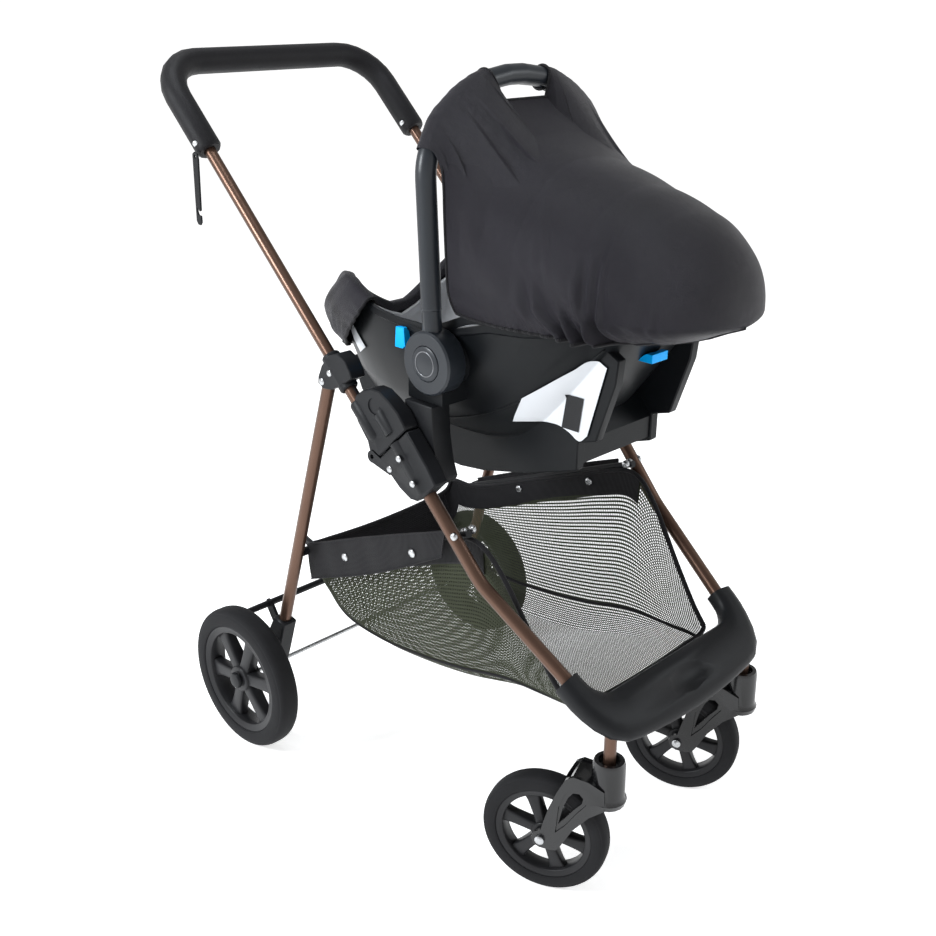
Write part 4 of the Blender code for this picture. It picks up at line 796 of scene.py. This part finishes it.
def bucket(share, angle, grow, nose=0.0, lift=0.0, rise=0.0):
    """The bucket's wall at a share of its height and an angle round it: a superellipse with its own
    squareness towards the head and the foot, scaled in height to the rim above each point, which dips at the
    foot."""
    half, head, foot, square, foot_square = levels(share)
    c, s = np.cos(angle), np.sin(angle)
    n = np.where(s > 0, foot_square, square)
    reach = np.where(s > 0, foot + grow + nose - BUCKET_MIDDLE, BUCKET_MIDDLE - head + grow)
    x = (half + grow) * np.sign(c) * np.abs(c) ** (2 / n)
    y = BUCKET_MIDDLE + reach * np.sign(s) * np.abs(s) ** (2 / n)
    side = rim_height(y)
    dip = rise_over(y, 0.03, 0.12) * np.maximum(0, 1 - (np.abs(x) / 0.115) ** 1.3)
    rim = side + (0.652 - side) * dip
    return np.stack([x, y, BUCKET_FLOOR + lift + (rim - BUCKET_FLOOR - lift) * share + rise], -1)


LIP_SECTION = (
    # growth of the bucket, and share of the lip's height
    (0.0013, 0.0), (0.0015, 1.0), (0.0004, 1.12), (-0.0012, 1.0), (-0.0014, 0.0),
)
LIP_HEIGHT = 0.0095
LIP_LEAST = 0.002
LIP_SUNK = 0.003
at_rim = np.ones(160)
along_side = np.linspace(-1.20, 0.75, len(at_rim))
for tag, sign in SIDES:
    angle = along_side if sign > 0 else math.pi - along_side
    line = bucket(at_rim, angle, 0.0)
    height = LIP_HEIGHT * (1 - rise_over(line[:, 1], 0.0, 0.090)) * (1 - rise_over(-line[:, 1], 0.200, 0.260))
    lip = [bucket(at_rim, angle, grow, 0.0, 0.0, -LIP_SUNK + (height + LIP_LEAST) * high)
           for grow, high in LIP_SECTION]
    grid_mesh(f"rim_lip_{tag}", np.stack(lip, 1) + (0, SHIFT, 0), shell_black, "carrier")
SKIN = spline([
    # share of the height, growth, more growth at the nose, rise
    (0.46, 0.0070, 0.002, 0.0), (0.60, 0.0145, 0.013, 0.0), (0.80, 0.0150, 0.017, 0.0),
    (0.95, 0.0115, 0.005, 0.0), (1.0, 0.0065, 0.0, 0.0050), (1.0, 0.0000, 0.0, 0.0078),
    (1.0, -0.0074, 0.0, 0.0056), (1.0, -0.0082, 0.0, -0.006),
], 64)
COVER_EDGE = np.array([
    # height and y of the cover's edge on the side of the shell
    (0.570, 0.150), (0.622, 0.137), (0.655, 0.105), (0.690, 0.070), (0.715, 0.056), (0.760, 0.050),
])
GATHER_DEPTH = 0.0022
GATHER_COUNT = 24
COVER_CREASES = (0.16, 0.10, 0.06, 0.045)
rows = []
for share_here, grow, nose, rise in SKIN:
    angle = np.linspace(-0.6, math.pi / 2, 600)
    wall = bucket(share_here, angle, grow, nose, 0.0, rise)
    past = wall[:, 1] - np.interp(wall[:, 2], COVER_EDGE[:, 0], COVER_EDGE[:, 1])
    start = np.interp(0.0, past, angle)
    t = np.linspace(0, 1, 240)
    sweep = start + (math.pi - 2 * start) * t
    low = max(0.0, 1 - (share_here - SKIN[0, 0]) / 0.30)
    gather = GATHER_DEPTH * low * np.sin(2 * math.pi * (GATHER_COUNT * t + 0.4 * np.sin(13 * t)))
    gather = gather + 0.0006 * np.exp(-np.minimum(t, 1 - t) / 0.02) * math.sin(share_here * 70)
    folds = ripples(t * 0.5, share_here * 0.16 + rise, COVER_CREASES, 0.0011, 8)
    rows.append(bucket(share_here, sweep, grow + gather + folds, nose, 0.0, rise))
cover_points = np.array(rows) + (0, SHIFT, 0)
cover = grid_mesh("foot_cover_cloth", cover_points, nylon, "carrier", replaces=("foot_cover",))
line = even(np.concatenate([cover_points[::-1, 0], cover_points[0], cover_points[:, -1]]), 420)
cover_hem = swept("foot_cover_hem", line, 0.0021, trim, "carrier", (0.1, 0.2, 1), 10)
cloth(cover)

# Seat liner: pale knitted fabric quilted over foam in eighteen upright channels, with a rolled edge. It lies
# loose in the bucket, under the harness straps and the buckle, which are shown as plain solids.
knit = Finish("liner_knit", srgb(218, 220, 223), 0.8, sheen=0.3)
loops = (knit.metres(0) * 3600.0).sine() * (knit.metres(1) * 2600.0).sine()
clouds = knit.noise(30.0, 4.0)
knit.tint(srgb(204, 206, 210), srgb(232, 233, 235), (clouds * 0.8 + loops * 0.2).limited())
knit.feed("Roughness", 0.72 + clouds * 0.15)
knit.relief(loops + clouds * 3.0, 0.0005)
LINER_TOP = 0.90
WALL = 0.0062
PAD = 0.013
QUILT = 0.0022
ROLL = (
    # growth of the bucket, lift of its floor and rise of its rim, from the wall over the liner's rolled edge
    (-WALL, WALL, -0.004), (-0.0064, WALL, 0.001), (-0.0085, WALL, 0.0034), (-0.0120, 0.012, 0.0030),
)
angle = np.linspace(0, 2 * math.pi, 220, endpoint=False)[None, :]
down = np.linspace(LINER_TOP, 0.0, 60)[:, None]
pad = PAD * (0.55 + 0.45 * np.sin(math.pi * np.minimum(1, down + 0.1)))
quilt = QUILT * np.abs(np.sin(angle * 9)) ** 0.6 * np.sin(math.pi * np.clip(down / LINER_TOP, 0, 1))
wall = bucket(down, angle, -WALL - pad - quilt + 0.0011, 0.0, WALL + PAD)
roll = [bucket(LINER_TOP, angle, grow, 0.0, lift, rise) for grow, lift, rise in ROLL]
middle = wall[-1].mean(0)
bottom = [middle + (wall[-1] - middle) * k - (0, 0, 0.0015 * (1 - k)) for k in np.linspace(0.94, 0.02, 20)]
liner_points = np.concatenate([np.concatenate(roll), wall, np.array(bottom)]) + (0, SHIFT, 0)
liner = grid_mesh("seat_liner_pad", liner_points, knit, "carrier", ring=True,
                  replaces=("seat_liner",))

# Basket: a tray of square net hung between the side bars, bound with black tape along its edges, and with a
# broad edge band inside each side and across the rear. A band of cloth on each side is snapped round the bar,
# and the snaps' caps show on the inside.
net = Finish("basket_net", srgb(176, 186, 172), 0.8, specular=0.2)
PITCH = 0.0034
THREAD_EDGE = 0.24  # share of the pitch, from the middle of a hole to its thread
wide = ((net.metres(0) * (1 / PITCH)).part() - 0.5).size()
long = ((net.metres(1) * (1 / PITCH)).part() - 0.5).size()
thread = wide.larger(long)
clouds = net.noise(25.0, 3.0)
net.tint(srgb(40, 43, 30), srgb(56, 60, 45), clouds)
net.feed("Alpha", thread > THREAD_EDGE)
net.relief(thread, 0.0004)
TRAY = np.array([
    # y, top z, floor z, half width at the top, half width at the floor
    (0.2050, 0.3240, 0.3020, 0.1560, 0.1500), (0.1880, 0.3230, 0.2600, 0.1600, 0.1500),
    (0.1650, 0.3220, 0.2240, 0.1630, 0.1500), (0.1250, 0.3330, 0.1930, 0.1635, 0.1500),
    (0.0470, 0.3650, 0.1810, 0.1640, 0.1500), (-0.0350, 0.3970, 0.1850, 0.1640, 0.1500),
    (-0.1080, 0.4270, 0.1950, 0.1640, 0.1490), (-0.1600, 0.4380, 0.2080, 0.1640, 0.1480),
    (-0.2000, 0.4050, 0.2200, 0.1600, 0.1470), (-0.2500, 0.3300, 0.2320, 0.1540, 0.1450),
    (-0.2850, 0.2800, 0.2400, 0.1500, 0.1440), (-0.3100, 0.2560, 0.2440, 0.1440, 0.1420),
])
stations = spline(TRAY, 110)
side_curve = spline([(1.0, 0.0), (0.62, 0.0), (0.28, 0.03), (0.08, 0.12), (0.0, 0.30)], 44)
y, top_z, floor_z, top_half, floor_half = (stations[:, k][:, None] for k in range(5))
up, inwards = side_curve[:, 0][None], side_curve[:, 1][None]
half = (floor_half + (top_half - floor_half) * up) * (1 - inwards)
height = floor_z + (top_z - floor_z) * up
bottom_half = 0.70
bottom = np.linspace(bottom_half, -bottom_half, 40)[None, 1:-1]
low_x = floor_half * bottom
low_z = floor_z - 0.004 * (1 - (bottom / bottom_half) ** 2)
sag = 0.004 * np.sin(math.pi * np.clip((0.2 - y) / 0.5, 0, 1))
side_x = half - sag * np.sin(math.pi * up)
side_y = y + 0 * half
tray = np.concatenate([
    np.stack([-side_x, side_y, height], -1),
    np.stack([-low_x, y + 0 * low_x, low_z - sag], -1),
    np.stack([side_x, side_y, height], -1)[:, ::-1],
], 1) + (0, SHIFT, 0)
basket = grid_mesh("basket_net", tray, net, None, replaces=("basket",))
FLOOR_COLUMN = 30
UP = (0, 0, 1)
BINDINGS = {
    # each binding's line, its radius and its up direction
    "left_top": (tray[:, -1], 0.0034, UP), "right_top": (tray[:, 0], 0.0034, UP),
    "front": (tray[-1], 0.0034, (0, 1, 0.2)), "rear": (tray[0], 0.0034, UP),
    "right_floor": (tray[:, FLOOR_COLUMN], 0.0024, UP),
    "left_floor": (tray[:, -1 - FLOOR_COLUMN], 0.0024, UP),
}
binding = []
for mark, (line, radius, upwards) in BINDINGS.items():
    binding.append(swept(f"basket_binding_{mark}", even(line, 240), radius, trim, None, upwards, 10))
EDGE_BAND = 0.038
EDGE_BAND_FACES = (0.0013, -0.0016)
banded = (stations[:, 0] < 0.190) & (stations[:, 0] > -0.172)
band_up = 1 - np.linspace(0, 1, 14)[None, :] * EDGE_BAND / (top_z - floor_z)[banded]
band_half = floor_half[banded] + (top_half - floor_half)[banded] * band_up
band_y = y[banded] + SHIFT + 0 * band_half
band_z = floor_z[banded] + (top_z - floor_z)[banded] * band_up
for tag, sign in SIDES:
    outer, inner = (np.stack([sign * (band_half + off), band_y, band_z], -1) for off in EDGE_BAND_FACES)
    strip = np.concatenate([outer, inner[:, ::-1]], 1)
    binding.append(grid_mesh(f"basket_edge_band_{tag}", strip, trim, None, ring=True))
rear = tray[stations[:, 0] > 0.1835]
binding.append(grid_mesh("basket_edge_band_rear", rear + (0, -0.0008, 0.0016), trim, None))
binding.append(grid_mesh("basket_edge_band_under", rear + (0, 0.0008, -0.0012), trim, None))
for piece in (basket, *binding):
    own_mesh(piece)
    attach(piece, "side_bars")
cloth(basket)
BAND_X = 0.1792
SNAP_X = 0.1806
CAP_X = 0.1612
SNAP = [(-0.0010, 0.0060), (0.0012, 0.0060), (0.0022, 0.0048), (0.0026, 0.0020)]
SNAP_PLACES = ((0.080, 0.339), (-0.058, 0.393))
upper = spline([(0.1660, 0.3300), (0.0300, 0.3870), (-0.1190, 0.4450)], 60)
lower = spline([(0.1600, 0.2760), (0.0200, 0.3350), (-0.1120, 0.4060)], 60)
along = np.linspace(0, 1, 60)[:, None]
mix = np.linspace(0, 1, 24)[None, :]
flat = upper[:, None] * (1 - mix[..., None]) + lower[:, None] * mix[..., None]
bulge = 0.0012 * np.sin(math.pi * mix) + ripples(along * 0.3, mix * 0.06, (0.09, 0.05), 0.0005, 4)
for tag, sign in SIDES:
    face = np.stack([sign * (BAND_X + bulge), flat[..., 0] + SHIFT, flat[..., 1]], -1)
    band = grid_mesh(f"basket_band_{tag}_cloth", face, trim, "side_bars",
                     replaces=(f"basket_band_{tag}",))
    line = even(np.concatenate([face[:, 0], face[-1], face[::-1, -1]]), 200)
    hem = swept(f"basket_band_{tag}_hem", line, 0.0011, trim, "side_bars", (1, 0, 0), 8)
    cloth(band)
    for number, (y, z) in enumerate(SNAP_PLACES):
        turned(f"basket_snap_{tag}_{number}", SNAP, (sign * SNAP_X, y + SHIFT, z), (sign, 0, 0), steel,
               "side_bars", 24)
        turned(f"basket_cap_{tag}_{number}", SNAP, (sign * CAP_X, y - 0.022 + SHIFT, z + 0.010),
               (-sign, 0, 0), steel, "side_bars", 24)

# Shell panels: on each side a blank white plastic plate with a plain dark one on it, bonded to the shell
# beside the head end, and a small blank tag near the foot end.
white = Finish("blank_white", (0.82, 0.82, 0.82, 1), 0.35)
white.smeared((0.60, 0.62, 0.65, 1), (0.67, 0.69, 0.72, 1), (12.0, 3.0), (0.3, 0.1))
plain_dark = Finish("plain_dark_plate", srgb(26, 26, 28), 0.3)
plain_dark.smeared(srgb(20, 20, 22), srgb(34, 34, 36), (20.0, 3.0), (0.25, 0.15))
RAIL_FACE = 0.0832


def on_side(y, z, out):
    """Half the carrier's width at y and z: the bucket's superellipse, or the rail's outer face where that is
    wider."""
    share = (z - BUCKET_FLOOR) / (rim_height(y) - BUCKET_FLOOR)
    half, head, foot, square, foot_square = levels(share)
    n = np.where(y > BUCKET_MIDDLE, foot_square, square)
    reach = np.where(y > BUCKET_MIDDLE, foot - BUCKET_MIDDLE, BUCKET_MIDDLE - head)
    wall = half * np.clip(1 - np.abs((y - BUCKET_MIDDLE) / reach) ** n, 0, 1) ** (1 / n)
    return np.maximum(wall, RAIL_FACE) + out


def plate(name, sign, low, high, finish, out, steps):
    """A thin plate between two edge lines of (y, z) points, laid on the carrier's side."""
    mix = np.linspace(0, 1, 44)[None, :, None]
    low, high = (even(np.insert(spline(line, 80), 0, 0, axis=1), steps)[:, 1:] for line in (low, high))
    spot = low[:, None] * (1 - mix) + high[:, None] * mix
    y, z = spot[..., 0], spot[..., 1]
    face = np.stack([sign * on_side(y, z, out), y + SHIFT, z], -1)
    grid_mesh(name, face, finish, "carrier")


PANEL_LOW = [(-0.1596, 0.5841), (-0.1761, 0.5869), (-0.1908, 0.5888), (-0.2053, 0.5906), (-0.2214, 0.5909),
             (-0.2376, 0.5860), (-0.2537, 0.5786), (-0.2656, 0.5883)]
PANEL_HIGH = [(-0.1833, 0.6228), (-0.2080, 0.6397), (-0.2319, 0.6568), (-0.2525, 0.6714), (-0.2717, 0.6852),
              (-0.2900, 0.6792)]
PLATE_LOW = [(-0.2262, 0.5900), (-0.2530, 0.5900)]
PLATE_HIGH = [(-0.2328, 0.6341), (-0.2589, 0.6344)]
TAG_LOW = [(0.1110, 0.6197), (0.0890, 0.6330)]
TAG_HIGH = [(0.1320, 0.6570), (0.1190, 0.6640)]
for tag, sign in SIDES:
    plate(f"blank_panel_{tag}", sign, PANEL_LOW, PANEL_HIGH, white, 0.0022, 70)
    plate(f"plain_plate_{tag}", sign, PLATE_LOW, PLATE_HIGH, plain_dark, 0.0031, 30)
    plate(f"blank_tag_{tag}", sign, TAG_LOW, TAG_HIGH, white, 0.0018, 30)
